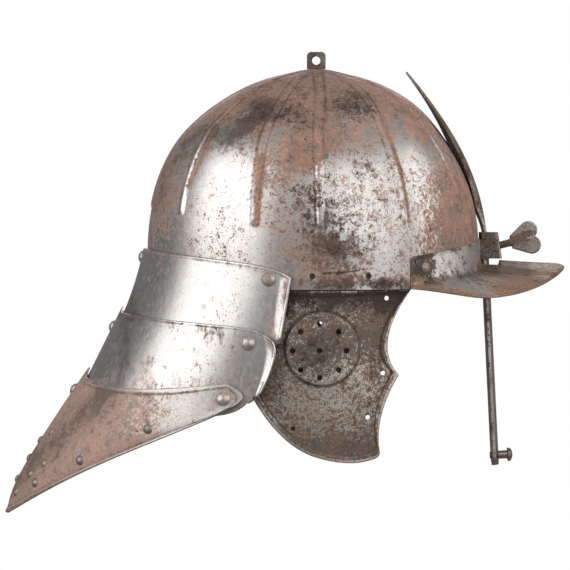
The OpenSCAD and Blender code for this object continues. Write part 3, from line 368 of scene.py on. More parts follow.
def make_peak():
    """Band and peak in one sheet, with a fine groove along the rim.

    Each column runs down the band, turns round the root by a quadratic curve and runs straight to the rim.
    """
    u = np.linspace(1, -1, 181)
    angle = np.sign(u)*BAND_ANGLE*np.abs(u)**1.5
    root_z, top_z, rim = root_height(HALF_WIDTH*np.sin(np.radians(angle))), band_top(angle), rim_point(u)
    top, root = bowl(angle, top_z, PLATE_FIT), bowl(angle, root_z, PLATE_FIT)
    above = np.minimum(0.45, 4.5/np.linalg.norm(top - root, axis=-1))
    below = np.minimum(0.45, 6.0/np.linalg.norm(rim - root, axis=-1))
    down = np.concatenate([[0, 0.02, 0.05], np.linspace(0.1, 1, 14)])[:, None]
    band = bowl(angle, mix(top_z, mix(root_z, top_z, above), down), PLATE_FIT)
    t = np.linspace(0, 1, 10)[1:-1, None, None]
    turn = mix(mix(band[-1], root, t), mix(root, mix(root, rim, below[:, None]), t), t)
    out = np.concatenate([np.linspace(0, 0.93, 34), [0.955, 0.975, 0.988, 0.995, 1]])[:, None]
    share = mix(below, 1, out)
    lip = TIP_LIP*share**2*(1 - ease((share - 0.92)/0.08))*np.exp(-np.abs(rim[:, 1])/9)
    brim = mix(root, rim, share[..., None]) + stack(0, 0, lip)
    grid = np.concatenate([band, turn, brim])
    from_top, across = run(grid, 0), run(grid[len(grid)//3], 0)
    from_rim = from_top[-1] - from_top
    near = np.minimum(np.minimum(from_top, from_rim), np.minimum(across, across[-1] - across))
    groove = GROOVE_DEPTH*np.exp(-((from_rim - GROOVE_IN)/GROOVE_HALF)**2)*ease((from_top - 40)/20)
    lift = PEAK_SHEET*rounded(near, 0.7) - groove
    peak = shell("peak_plate", grid + lift[..., None]*normals(grid), grid, near=near)
    corners = [(x, y, z) for x in (SLOT_BACK, SLOT_BACK + SLOT_DEPTH) for z in (SLOT_LOW, SLOT_HIGH)
               for y in (-SLOT_HALF, SLOT_HALF)]
    slot = corners, [[0, 1, 3, 2], [4, 6, 7, 5], [0, 4, 5, 1], [2, 3, 7, 6], [0, 2, 6, 4], [1, 5, 7, 3]]
    cut(peak, [slot] + bowl_drills(BAND_HOLES, 7))
    return peak


# The nasal

def leaf_tilt(t):
    """How far the leaf leans back at a share t of its length, in radians: the sweep times 1 - (1 - t)^1.7."""
    return math.radians(LEAF_SWEEP)*(1 - (1 - t)**1.7)


def leaf_dish(t, half):
    """How far the leaf's sides bend back at a share t of its length, for half its width there.

    They hug the bowl above the root, flatten to where the leaf is widest and then follow the width squared.
    """
    root = mix(LEAF_START_DISH, LEAF_ROOT_DISH, (t/LEAF_ROOT)**1.6)
    body = mix(LEAF_ROOT_DISH, LEAF_DISH, (t - LEAF_ROOT)/(LEAF_WIDEST - LEAF_ROOT))
    end = LEAF_DISH*(half/(LEAF_WIDTH/2))**2
    return np.where(t < LEAF_ROOT, root, np.where(t < LEAF_WIDEST, body, end))


def make_nasal():
    """One bar from the knob up. Its ridged section widens and thins into a dished leaf that leans back."""
    tip, step = BAR_WIDTH/2, BAR_EDGE + LEAF_STEP
    q = np.linspace(-1, 1, 33)
    ridge, flank = 1 - np.abs(q)**1.25, 1 - np.abs(q)
    end = -BAR_LENGTH + tip*(1 - np.cos(np.linspace(0, math.pi/2, 16)))
    z = np.concatenate([end, np.linspace(-BAR_LENGTH + tip, 0, 60)[1:]])[:, None]
    from_end = z + BAR_LENGTH
    round_end = np.maximum(0.6, np.sqrt(np.maximum(0, tip**2 - (tip - from_end)**2)))
    half = np.where(from_end < tip, round_end, tip)
    sink = step*ease((z + 3)/7)
    thick = mix(BAR_EDGE, BAR_RIDGE, ridge)*rounded(flank*half, 0.7)
    thick = mix(thick, LEAF_SHEET*rounded(flank*half, 0.6), 0.5*ease((z + 4)/8))*rounded(from_end, 0.8)
    bar = stack(sink + thick, q*half, z), stack(sink, q*half, z)

    count = 90
    t = (np.arange(1, count + 1)/count)[:, None]
    lean = leaf_tilt(t - 0.5/count)
    x, z = step - np.cumsum(np.sin(lean), 0)*LEAF_LENGTH/count, np.cumsum(np.cos(lean), 0)*LEAF_LENGTH/count
    narrowing = np.maximum(0, t - LEAF_WIDEST)/(1 - LEAF_WIDEST)
    half = np.where(t < LEAF_WIDEST, mix(tip, LEAF_WIDTH/2, ease(t/LEAF_WIDEST)),
                    np.maximum(0.5, LEAF_WIDTH/2*(1 - narrowing**1.15)))
    thick = mix(mix(BAR_EDGE, BAR_RIDGE - BAR_EDGE, ridge), LEAF_SHEET, 0.5 + 0.5*ease(t/0.06))
    back = -leaf_dish(t, half)*q*q
    front = back + thick*rounded(flank*half, 0.6)
    tilt = leaf_tilt(t)
    leaf = [stack(x + out*np.cos(tilt), q*half, z + out*np.sin(tilt)) for out in (front, back)]

    lean = math.atan(BAR_LEAN)
    turn = np.array([[math.cos(lean), 0, -math.sin(lean)], [0, 1, 0], [math.sin(lean), 0, math.cos(lean)]])
    place = np.array([BROW_X + PLATE_FIT + PEAK_SHEET + 0.5, 0, BAND_TOP])
    return shell("nasal_bar", *[np.concatenate(rows) @ turn.T + place for rows in zip(bar, leaf)])


# The neck guard

def lame_start(k):
    """Upper end of a lame's back profile as (x, z), behind the nape or the lame above."""
    if k == 0:
        return np.array([float(bowl(180, GUARD_TOP)[0]) - NAPE_GAP, GUARD_TOP])
    return back_profile(k - 1, LAP_START) - np.array([LAME_SHEET + LAP_GAP, LAP_DROP])


def back_profile(k, s):
    """Curve of a lame's inner face in the middle plane: a quadratic curve, the tail's with one more bulge."""
    a = lame_start(k)
    b = a - np.array([LAME_RUN[k], LAME_DROP[k]])
    d = (b - a)/np.linalg.norm(b - a)
    c = (a + b)/2 + LAME_BOW[k]*np.array([-d[1], d[0]])
    bulge = TAIL_BULGE*math.sin(math.pi*s**3) if k == 2 else 0
    return mix(mix(a, c, s), mix(c, b, s), s) + bulge*np.array([d[1], -d[0]])


def front_edge(k, s):
    """Front end of a lame's row as (x, z).

    The upper two lean back by a power of s, with a smooth step at the foot, and the second also draws back at
    its head. The tail has a round nose, half a sine wave.
    """
    z = mix(FRONT_TOP[k], FRONT_END[k], s)
    if k == 2:
        return FRONT_X[k] + TAIL_NOSE*math.sin(math.pi*s), z
    foot = FRONT_X[k] - FOOT_SWEEP[k]*float(ease((s - FOOT_START[k])/(1 - FOOT_START[k])))
    if k == 0:
        return foot - FRONT_LEAN[k]*s, z
    head, lean = max(0, 1 - s/HEAD_SHARE), max(0, s - HEAD_SHARE)/(1 - HEAD_SHARE)
    return foot - HEAD_BACK*head**1.5 - FRONT_LEAN[k]*lean**1.6, z


def row_height(k, s, g, back, front):
    """Height along a row, for a share g of the way from the back to the front end.

    The upper two go to a level by a power of g and turn to the front end's height late, by a high power. The
    tail runs straight, with a sine's dip at its top and a sine's arch at its hem.
    """
    if k == 2:
        dip, arch = np.sin(math.pi*g**0.6), np.maximum(0, np.sin(math.pi*g**0.7))**1.3
        return mix(back, front, g) - TAIL_DIP*(1 - s)*dip + HEM_ARCH*s*arch
    level = mix(*ROW_LEVEL[k], s)
    return mix(back, level, g**0.8) + (front - level)*g**ROW_TURN[k]


def lame_point(k, s, x):
    """Points of a lame's inner face on the right at row s: a superellipse in plan and a turned-out flange."""
    b, (fx, fz) = back_profile(k, s), front_edge(k, s)
    xw, w = mix(WIDEST[k], WIDEST[k + 1], s), mix(WIDTH_TOP[k], WIDTH_END[k], s)
    p = mix(2, POWER_END[k], s)
    q, g = clamped((xw - x)/(xw - b[0])), clamped((x - b[0])/(fx - b[0]))
    span = FLANGE*(1.15 - 0.7*s if k == 1 else 1)
    fade = 0 if k == 2 else 1 - ease((s - FLANGE_END[k])/0.08)
    turn = FLANGE_TURN*fade*clamped((x - fx)/span + 1)**1.5
    return stack(x, -(w*np.maximum(0, 1 - q**p)**(1/p) + turn), row_height(k, s, g, b[1], fz))


def make_lame(k, name):
    """A lame from front end to front end round the back, with rounded edges and, on the tail, a round hem.

    Rows and columns are closer at the edges. A cusp lifts the upper edge's middle and fades away from it.
    """
    fine = np.array([0.0, 0.005, 0.012, 0.024])
    rows = np.concatenate([fine, np.linspace(fine[-1], 1 - fine[-1], 58)[1:-1], 1 - fine[::-1]])
    grid = []
    for s in rows:
        b, (fx, _) = back_profile(k, s), front_edge(k, s)
        xw, p, edge = mix(WIDEST[k], WIDEST[k + 1], s), mix(2, POWER_END[k], s), fx - FLANGE
        whole = math.acos(((xw - edge)/(xw - b[0]))**(p/2))
        bend = xw - (xw - b[0])*np.cos(whole*np.linspace(0, 1, 74))**(2/p)
        flange = edge + FLANGE*np.array([0.12, 0.25, 0.38, 0.5, 0.62, 0.74, 0.84, 0.9, 0.94, 0.97, 0.99, 1])
        right = lame_point(k, s, np.concatenate([bend, flange]))
        right[0, 1] = 0
        cusp = max(0, 1 - s/CUSP_REACH[k])*clamped(1 - right[:, 1]/right[CUSP_COLUMN, 1])
        right += cusp[:, None]*np.array([LAME_CUSP[k][0], 0, LAME_CUSP[k][1]])
        grid.append(np.concatenate([right[::-1], right[1:]*(1, -1, 1)]))
    grid = np.array(grid)
    down, along = run(grid, 0), run(grid, 1)
    from_hem = down[-1] - down
    near = np.minimum(np.minimum(down, from_hem), np.minimum(along, along[:, -1:] - along))
    lift = LAME_SHEET*rounded(near, 0.7)
    if k == 2:
        lift += HEM_HEIGHT*np.sqrt(np.maximum(0, 1 - ((from_hem - HEM_HALF)/HEM_HALF)**2))
    return shell(name, grid + lift[..., None]*normals(grid), grid, near=near)


# The cheekpieces

def curve(a, c, b, count):
    """Points along a quadratic curve, without its last one."""
    t = np.linspace(0, 1, count + 1)[:-1, None]
    a, b, c = (np.array(p, float) for p in (a, b, c))
    return mix(mix(a, c, t), mix(c, b, t), t)


def cheek_outline():
    """The right cheekpiece's outline as (x, z), clockwise from its upper front corner."""
    top, cusp, corner, chin = (57.2, CHEEK_TOP), (48.5, -53.5), (36, -105), (33, -108.3)
    jaw, heel, back = (-6, -107.3), (-49, -66), (-30, CHEEK_TOP)
    return np.concatenate([curve(top, (29.5, -33.5), cusp, 60), curve(cusp, (31.3, -80.5), corner, 60),
                           curve(corner, (35.4, -107.2), chin, 6), curve(chin, (17, -114.3), jaw, 44),
                           curve(jaw, (-30, -100), heel, 56), curve(heel, (-44, -34), back, 50),
                           curve(back, (13.6, CHEEK_TOP), top, 60)])


def cheek_depth(x, z):
    """Distance of the cheekpiece's inner face from the middle plane: the bowl's plan, bowed by a sine."""
    inset = BOWL_SHEET + CHEEK_GAP + CHEEK_SHEET
    plan = (HALF_WIDTH - inset)*np.sqrt(1 - ((x + NAPE_SHIFT)/(HALF_LENGTH - inset))**2)
    return plan + CHEEK_BOW*np.sin(math.pi*clamped((CHEEK_TOP - z)/CHEEK_DROP))


def make_cheek(name, side):
    """A cheekpiece in rings from the roundel's middle to the outline.

    The roundel and the border are raised by smooth steps of the distance from the ear and from the edge.
    """
    outline, ear = cheek_outline(), np.array(EAR)
    way, reach = unit(outline - ear), np.linalg.norm(outline - ear, axis=-1)
    rounds = np.concatenate([[0.08, 0.2, 0.35, 0.5, 0.65, 0.8, 0.88], np.linspace(0.92, 1.04, 11), [1.08]])
    field = np.concatenate([np.linspace(0, 0.8, 16)[1:], np.linspace(0.8, 1, 9)[1:]])[:, None]
    step = BORDER + np.array([1.3, 1.0, 0.7, 0.4, 0.1, -0.3, -0.8])
    rim = np.append(step, [2.0, 1.3, 0.8, 0.45, 0.2, 0.07, 0.0])[:, None]
    far = np.concatenate([EAR_R*rounds[:, None] + 0*reach, mix(EAR_R*rounds[-1], reach - BORDER - 1.6, field),
                          reach - rim])
    near = reach - far
    rise = EAR_RISE*(1 - ease((far/EAR_R - 0.935)/0.065)) + BORDER_RISE*ease((BORDER + 1.2 - near)/1.4)
    plan = ear + far[..., None]*way
    depth = cheek_depth(plan[..., 0], plan[..., 1]) + rise
    outer = stack(plan[..., 0], side*(depth + CHEEK_SHEET*rounded(near, 0.7)), plan[..., 1])
    inner = stack(plan[..., 0], side*depth, plan[..., 1])
    middle = cheek_depth(*EAR) + EAR_RISE
    crown = [(EAR[0], side*(middle + CHEEK_SHEET), EAR[1]), (EAR[0], side*middle, EAR[1])]
    cheek = shell(name, outer, inner, True, crown, near)
    a = np.arange(SOUND_HOLES)*2*math.pi/SOUND_HOLES
    centre = ear + SOUND_SHIFT
    holes = [(p, SOUND_HOLE_R) for p in (centre, *(centre + SOUND_R*stack(np.cos(a), np.sin(a))))]
    holes += [(p, LINING_HOLE_R) for p in LINING_HOLES]
    cut(cheek, [rod(r, 20, (x, side*cheek_depth(x, z), z), (0, 1, 0)) for (x, z), r in holes])
    return cheek


def make_strap(name, side):
    """The leather hanger: flat on the bowl's inside, a smooth step in at the rim, flat on the cheekpiece."""
    xs = STRAP_X + STRAP_WIDTH*np.linspace(-0.5, 0.5, 25)
    high = np.array([15, 14.8, 14.4, 12, 9, 6, 4.6, 4])[:, None]
    low = np.array([2.8, 1, -2, -5, -8, -9.4, -9.8, STRAP_END])[:, None]
    upper = bowl(bowl_angle(xs, high), high, -BOWL_SHEET - PLATE_FIT)
    lower = stack(xs, STRAP_FIT - cheek_depth(xs, low), low)
    bend = mix(upper[-1], lower[0], ease(np.array([0.25, 0.5, 0.75])[:, None, None]))
    grid = np.concatenate([upper, bend, lower])
    near = np.minimum(grid[0, 0, 2] - grid[..., 2], grid[..., 2] - STRAP_END)
    near = np.minimum(near, STRAP_WIDTH/2 - np.abs(grid[..., 0] - STRAP_X))
    inner = grid + stack(0, STRAP_SHEET*rounded(near, 0.8), 0)
    return shell(name, grid*(1, -side, 1), inner*(1, -side, 1))


# The wing screw

def make_shank():
    """The screw's shank along Z: a cylinder less a V thread, by the height in pitches plus the turn."""
    z = np.linspace(SHANK_END, SCREW_REACH + 1.5, 240)[:, None]
    a = np.linspace(0, 2*math.pi, 33)[:-1]
    phase = (z/THREAD_PITCH + a/(2*math.pi)) % 1
    r = SCREW_R - THREAD_DEPTH*np.abs(2*phase - 1)**0.8*ease((SCREW_REACH - 0.5 - z)/1.5)
    r = r*np.sqrt(clamped((z - SHANK_END)/1.2 + 0.35))
    grid = stack(r*np.cos(a), r*np.sin(a), z)
    points = np.concatenate([grid.reshape(-1, 3), [(0, 0, z[0, 0]), (0, 0, z[-1, 0])]])
    rows, cols = grid.shape[:2]
    ring = np.append(np.arange(cols), 0)
    faces = [quads(0, rows, cols, True, True), fan(rows*cols, ring[::-1]),
             fan(rows*cols + 1, ring + (rows - 1)*cols)]
    return solid("wing_screw_shank", points, [face for group in faces for face in group.tolist()])


def make_heart():
    """The screw's flat heart-shaped head along Z, in rings round its middle.

    Its outline is two arcs and the lines that touch them from the root. A bell curve thickens it along its
    middle, where the shank runs into it.
    """
    centre, root = np.array([LOBE_OFFSET, LOBE_REACH]), np.array([HEART_ROOT, 0.0])
    v = root - centre
    lean, face = math.acos(LOBE_R/np.linalg.norm(v)), math.atan2(v[1], v[0])
    a = np.linspace(face + lean, math.pi - math.acos(LOBE_OFFSET/LOBE_R), 30)
    half = np.concatenate([[root*(0.4, 1), root], centre + LOBE_R*stack(np.cos(a), np.sin(a))])
    outline, middle = np.concatenate([half, half[::-1]*(-1, 1)]), np.array([0, 0.8*LOBE_REACH])
    way = outline - middle
    share = np.concatenate([np.linspace(0.08, 0.8, 12), np.linspace(0.84, 1, 9)])[:, None, None]
    plan = middle + share*way
    edge = (1 - share[..., 0])*np.linalg.norm(way, axis=-1)
    swell = HEART_SWELL*(np.exp(-(plan[..., 0]/1.7)**2)*ease((LOBE_REACH + 3 - plan[..., 1])/5) - 1)
    half_thick = (HEAD_THICK/2 + swell)*rounded(edge, 1.1)
    faces = [stack(plan[..., 0], out*half_thick, plan[..., 1] + SCREW_REACH) for out in (-1, 1)]
    crown = [(0, out*HEAD_THICK/2, middle[1] + SCREW_REACH) for out in (-1, 1)]
    return shell("wing_screw_head", *faces, True, crown)


def make_screw():
    """Shank and head, set on the screw's tilted axis."""
    place = Matrix.Translation((SCREW_EXIT[0]*MM, 0, SCREW_EXIT[1]*MM))
    shank, heart = make_shank(), make_heart()
    for obj in (shank, heart):
        obj.data.transform(place @ Matrix.Rotation(math.radians(90 - SCREW_TILT), 4, "Y"))
    return shank, heart


# Materials

SMOOTH, COLOUR = {"interpolation_type": "SMOOTHSTEP"}, {"data_type": "RGBA"}


def linear(hex_colour):
    """An sRGB hex colour as linear RGBA."""
    parts = [int(hex_colour[i:i + 2], 16)/255 for i in (1, 3, 5)]
    return [c/12.92 if c <= 0.04045 else ((c + 0.055)/1.055)**2.4 for c in parts] + [1.0]


class Finish:
    """A material under construction. Its patterns read Object coordinates, which are metres."""

    def __init__(self, name):
        self.material = bpy.data.materials.new(name)
        self.material.use_nodes = True
        self.tree = self.material.node_tree
        self.place = self.add("TexCoord", {}, {}, "Object")

    def add(self, kind, settings, inputs, output=0):
        """Adds one node, sets or links its inputs by title or number, and gives one of its outputs."""
        node = self.tree.nodes.new("ShaderNode" + kind)
        for key, value in settings.items():
            setattr(node, key, value)
        self.fill(node, inputs)
        return node.outputs[output]

    def fill(self, node, inputs):
        """Links each input that is given a socket and sets the others."""
        for key, value in inputs.items():
            if isinstance(value, bpy.types.NodeSocket):
                self.tree.links.new(value, node.inputs[key])
            else:
                node.inputs[key].default_value = value

    def pattern(self, size, detail, rough, seed=0.0, stretch=(1, 1, 1)):
        """Noise with features of about that size in millimetres, moved by a seed."""
        shift = (seed, 0.7*seed, 1.3*seed)
        place = self.add("Mapping", {}, {"Vector": self.place, "Location": shift, "Scale": stretch})
        inputs = {"Vector": place, "Scale": 1/(size*MM), "Detail": detail, "Roughness": rough}
        return self.add("TexNoise", {}, inputs)

    def total(self, parts, start=0.0):
        """The start plus each value times its weight."""
        for value, weight in parts:
            start = self.add("Math", {"operation": "MULTIPLY_ADD"}, {0: value, 1: weight, 2: start})
        return start

    def patch(self, centre, radius, amount):
        """A soft ball in space: an amount at its centre and 0 at its radius, in millimetres."""
        middle = [c*MM for c in centre]
        away = self.add("VectorMath", {"operation": "DISTANCE"}, {0: self.place, 1: middle}, "Value")
        return self.add("MapRange", SMOOTH, {0: away, 1: 0.0, 2: radius*MM, 3: amount, 4: 0.0})

    def streak(self, start, end, width, amount):
        """A soft line seen from the side, from (x, z) to (x, z): an amount on it and 0 a width away."""
        a = Vector((start[0]*MM, 0, start[1]*MM))
        way = Vector((end[0]*MM, 0, end[1]*MM)) - a
        unit_way = way/way.length_squared
        flat = self.add("VectorMath", {"operation": "MULTIPLY_ADD"}, {0: self.place, 1: (1, 0, 1), 2: -a})
        along = self.add("VectorMath", {"operation": "DOT_PRODUCT"}, {0: flat, 1: unit_way}, "Value")
        along = self.add("Math", {"operation": "ADD", "use_clamp": True}, {0: along, 1: 0.0})
        foot = self.add("VectorMath", {"operation": "SCALE"}, {0: way, "Scale": along})
        away = self.add("VectorMath", {"operation": "DISTANCE"}, {0: flat, 1: foot}, "Value")
        return self.add("MapRange", SMOOTH, {0: away, 1: 0.0, 2: width*MM, 3: amount, 4: 0.0})

    def seam(self, value, level, width, amount, scale=1.0, core=0.0):
        """A soft line where a scaled value passes a level: an amount within the core and 0 a width away."""
        off = self.total([(value, scale)], -level)
        off = self.add("Math", {"operation": "ABSOLUTE"}, {0: off})
        return self.add("MapRange", SMOOTH, {0: off, 1: core, 2: width, 3: amount, 4: 0.0})

    def coat(self, parts, balance, low, high):
        """Mask of a coat: a weighted sum of patterns cut to a smooth step from low to high.

        The balance is a shift and a list of marks that are added to the sum: patches, streaks or values.
        """
        value = self.total(parts, balance[0])
        for mark in balance[1:]:
            if isinstance(mark, tuple):
                mark = self.patch(*mark) if len(mark) == 3 else self.streak(*mark)
            value = self.add("Math", {"operation": "ADD"}, {0: value, 1: mark})
        return self.add("MapRange", SMOOTH, {0: value, 1: low, 2: high})

    def surface(self, colour, metal, rough, height, depth):
        """Sets the surface, with a bump of that depth in millimetres."""
        bump = self.add("Bump", {}, {"Height": height, "Strength": 1.0, "Distance": depth*MM})
        inputs = {"Base Color": colour, "Metallic": metal, "Roughness": rough, "Normal": bump}
        self.fill(self.tree.nodes["Principled BSDF"], inputs)
        return self.material


def rib_feet(finish):
    """A darker line along the ribs' feet: the nearest rib by plan angle, times the distance from the middle.
    """
    x, y, z = [finish.add("SeparateXYZ", {}, {0: finish.place}, k) for k in range(3)]
    (back_low, back_high), (fore_low, fore_high) = np.array([LEAN_BACK_Z, LEAN_FORE_Z])*MM
    back = finish.add("MapRange", SMOOTH, {0: z, 1: back_low, 2: back_high, 3: NAPE_SHIFT*MM,
                                           4: (NAPE_SHIFT + LEAN_BACK)*MM})
    fore = finish.add("MapRange", SMOOTH, {0: z, 1: fore_low, 2: fore_high, 3: 0.0, 4: -LEAN_FORE*MM})
    along = finish.total([(value, 1/HALF_LENGTH) for value in (x, back, fore)])
    across = finish.add("Math", {"operation": "MULTIPLY"}, {0: y, 1: 1/HALF_WIDTH})
    across = finish.add("Math", {"operation": "ABSOLUTE"}, {0: across})
    angle = finish.add("Math", {"operation": "ARCTAN2"}, {0: across, 1: along})
    nearest = finish.add("Math", {"operation": "ABSOLUTE"}, {0: angle})
    for rib in RIBS[1:7]:
        away = finish.add("Math", {"operation": "SUBTRACT"}, {0: angle, 1: math.radians(rib)})
        away = finish.add("Math", {"operation": "ABSOLUTE"}, {0: away})
        nearest = finish.add("Math", {"operation": "MINIMUM"}, {0: nearest, 1: away})
    flat = finish.add("VectorMath", {"operation": "MULTIPLY"}, {0: finish.place, 1: (1, 1, 0)})
    radius = finish.add("VectorMath", {"operation": "LENGTH"}, {0: flat}, "Value")
    far = finish.add("Math", {"operation": "MULTIPLY"}, {0: nearest, 1: radius})
    line = finish.seam(far, 0.5*RIB_WIDTH*MM, 1.3*MM, 0.05)
    top = finish.add("MapRange", SMOOTH, {0: z, 1: (RIB_END - 2)*MM, 2: (RIB_END + 3)*MM})
    return finish.add("Math", {"operation": "MULTIPLY"}, {0: line, 1: top})


def roundel_foot(finish):
    """A darker ring at the ear roundel's foot, seen from the side."""
    flat = finish.add("VectorMath", {"operation": "MULTIPLY"}, {0: finish.place, 1: (1, 0, 1)})
    middle = (EAR[0]*MM, 0, EAR[1]*MM)
    away = finish.add("VectorMath", {"operation": "DISTANCE"}, {0: flat, 1: middle}, "Value")
    return finish.seam(away, EAR_R*MM, 1.4*MM, 0.06, core=0.2*MM)


def edge_line(depth, width, amount):
    """Makes a function that draws a line at a depth in from the sheet's edge, all in millimetres."""
    def line(finish):
        near = finish.add("Attribute", {"attribute_name": "edge"}, {}, "Fac")
        return finish.seam(near, EDGE_REACH - depth, width, amount, EDGE_REACH)
    return line


def inner_face(finish):
    """Darkens a sheet's inner face: partly the dull forge skin inside, which was never polished, and partly
    painted shade for the dark inside of the helmet, seen through the holes.
    """
    inside = finish.add("Attribute", {"attribute_name": "inside"}, {}, "Fac")
    return finish.total([(inside, 0.13)])


def worn(name, colours, film=(0.0,), specks=(0.0,), spots=(0.0,), shade=(-0.1,), rough=0.3, depth=0.1,
         stretch=(1, 1, 1), seed=0.0, film_mix=(0.3, 0.2, 0.33, 0.17), film_cover=0.88, dirt_and_shade=(),
         specular=0.4):
    """Old hammered steel: bright metal under a film of rust, with rust specks, dark pits and dark stains. The
    dark stains also carry painted shade where a material's marks put it.

    The colours are the metal, its lighter parts, the rust, its orange parts and the dark stains. Each coat's
    balance is a shift and its marks: about -0.15 leaves it out and 0.15 covers all. The film's mix weighs its
    four patterns from broad to grain. Each dirt_and_shade function's value is added to the film and to the
    shade.
    """
    made = Finish(name)
    steel, light, rust, orange, dark = [linear(hex_colour) for hex_colour in colours]
    # Stains of a hand's width, hammer marks, scale, pits drawn as coarse as they need to show, clots and dots
    broad = made.pattern(67, 4, 0.6, seed, stretch)
    middle = made.pattern(13, 4, 0.65, seed + 3, stretch)
    fine = made.pattern(2.5, 4, 0.7, seed + 5, stretch)
    grain = made.pattern(0.8, 2, 0.65, seed + 7)
    clots = made.pattern(6.7, 4, 0.7, seed + 13)
    dots = made.pattern(1.6, 3, 0.6, seed + 17)
    lines = [line(made) for line in dirt_and_shade]
    film_mask = made.coat(zip((broad, middle, fine, grain), film_mix), [*film, *lines], 0.465, 0.575)
    speck_mask = made.coat([(clots, 0.22), (fine, 0.4), (grain, 0.38)], specks, 0.53, 0.585)
    spot_mask = made.coat([(broad, 0.15), (clots, 0.4), (dots, 0.45)], spots, 0.54, 0.6)
    shade_mix = [(broad, 0.25), (middle, 0.3), (clots, 0.25), (fine, 0.2)]
    shade_mask = made.coat(shade_mix, [*shade, *lines], 0.48, 0.6)
    # The rust runs from dark at its thinnest through brown to orange
    tone = made.total([(clots, 0.35), (dots, 0.25), (middle, 0.25), (grain, 0.15)])
    brown = made.add("ValToRGB", {}, {"Fac": tone})
    stops = brown.node.color_ramp.elements
    stops[0].position, stops[1].position = 0.41, 0.56
    stops[0].color, stops[1].color = dark, orange
    for position in (0.48, 0.51):
        stops.new(position).color = rust
    metal_tone = made.add("MapRange", SMOOTH, {0: fine, 1: 0.35, 2: 0.65})
    colour = made.add("Mix", COLOUR, {0: metal_tone, 6: steel, 7: light}, 2)
    for mask, strength, coat in ((film_mask, film_cover, brown), (speck_mask, 0.7, brown),
                                 (shade_mask, 0.75, dark), (spot_mask, 0.85, dark)):
        share = made.add("Math", {"operation": "MULTIPLY"}, {0: mask, 1: strength})
        colour = made.add("Mix", COLOUR, {0: share, 6: colour, 7: coat}, 2)
    # Where it is covered, the surface is duller, less metallic and lower
    dotted = made.add("Math", {"operation": "MAXIMUM"}, {0: speck_mask, 1: spot_mask})
    cover = made.total([(film_mask, 0.9*film_cover), (dotted, 0.6), (shade_mask, 0.25)])
    metallic = made.add("MapRange", SMOOTH, {0: cover, 3: 0.97, 4: 0.25})
    sheen = made.add("MapRange", SMOOTH, {0: cover, 3: rough, 4: 0.6})
    roughness = made.total([(sheen, 1.0), (fine, 0.08), (broad, 0.06)])
    height = made.total([(fine, 0.35), (grain, 0.15), (middle, 0.8), (cover, -0.15)])
    made.tree.nodes["Principled BSDF"].inputs["Specular IOR Level"].default_value = specular
    return made.surface(colour, metallic, roughness, height, depth)


# Low-carbon steel raised by hammer from one sheet and ground bright, then rusted and rubbed back by hand.
# Both flanks are bare and shine, and a smooth brown film lies over crown, brow, nape and the rim at the ears.
# Most ribs carry a line of rust, and dark scale stays beside the crown and low in the middle. A crack over
# the ear shows as a dark line. The film on both shoulders is partly painted: besides rust, it dulls the
# outline there to the dark edge that grazing reflections give.
rib_rust = [(tuple(bowl(a, low)[[0, 2]]), tuple(bowl(a, high)[[0, 2]]), width, amount)
            for a, low, high, width, amount in ((247.5, 46, 88, 5.5, 0.11), (272.5, 90, 118, 3.6, 0.11),
                                                (272.5, 47, 84, 4.5, -0.2), (302, 48, 80, 3.2, 0.11),
                                                (302, 80, 112, 3.2, 0.11), (217, 70, 110, 3, 0.11))]
bowl_steel = worn("hammered bowl steel", ("#b6b2af", "#cfccc9", "#805c49", "#ab7a60", "#2a2220"),
                  film=[-0.005, ((-74, -80, 46), 52, -0.18), ((38, -90, 60), 62, -0.11),
                        ((0, -50, 145), 92, 0.16), ((100, -45, 60), 80, 0.13), ((-112, -35, 72), 56, 0.06),
                        ((-4, -97, 28), 44, 0.09),
                        ((-14, 7), (54, 7), 7, 0.06), ((-18, -90, 92), 28, 0.13), ((-29, -92, 71), 14, 0.07),
                        # The last two patches on the next line are partly rust and partly painted darkening
                        # of the shoulders' outline
                        ((-86, -60, 57), 6, 0.2), ((62, -30, 122), 44, 0.1), ((-75, -30, 122), 44, 0.08),
                        *rib_rust],
                  specks=[-0.01, ((45, -90, 56), 66, 0.068), ((-75, -80, 50), 50, 0.016),
                          ((-12, -95, 60), 44, 0.07), ((-85, -70, 20), 50, 0.04)],
                  spots=[-0.035, ((-17, -63, 112), 23, 0.1), ((-40, -56, 119), 28, 0.085),
                         ((-14, -95, 66), 36, 0.075), ((22, -60, 126), 34, 0.1), ((-5, -97, 34), 40, 0.06),
                         ((-70, -80, 20), 46, 0.05), ((-2, 13), (11, 13.4), 1.3, 0.12),
                         ((11, 13.4), (31, 16.6), 1.3, 0.12), ((-10, 5), (58, 5), 6, 0.07)],
                  shade=[-0.03, ((-41, -56, 120), 26, 0.11), ((-17, -63, 112), 18, 0.06),
                         ((20, -60, 127), 27, 0.12), ((-62, -60, 106), 26, 0.13), ((-88, -40, 108), 36, 0.12),
                         ((-12, -95, 66), 36, 0.02), ((0, -97, 36), 42, 0.1), ((-16, 5), (50, 5), 8, 0.1),
                         ((0, -40, 148), 70, 0.06), ((-112, -30, 80), 40, 0.06), ((-60, -80, 48), 50, -0.08),
                         ((45, -90, 50), 50, -0.04), ((104, -45, 50), 40, -0.05)],
                  rough=0.27, dirt_and_shade=[rib_feet, inner_face])

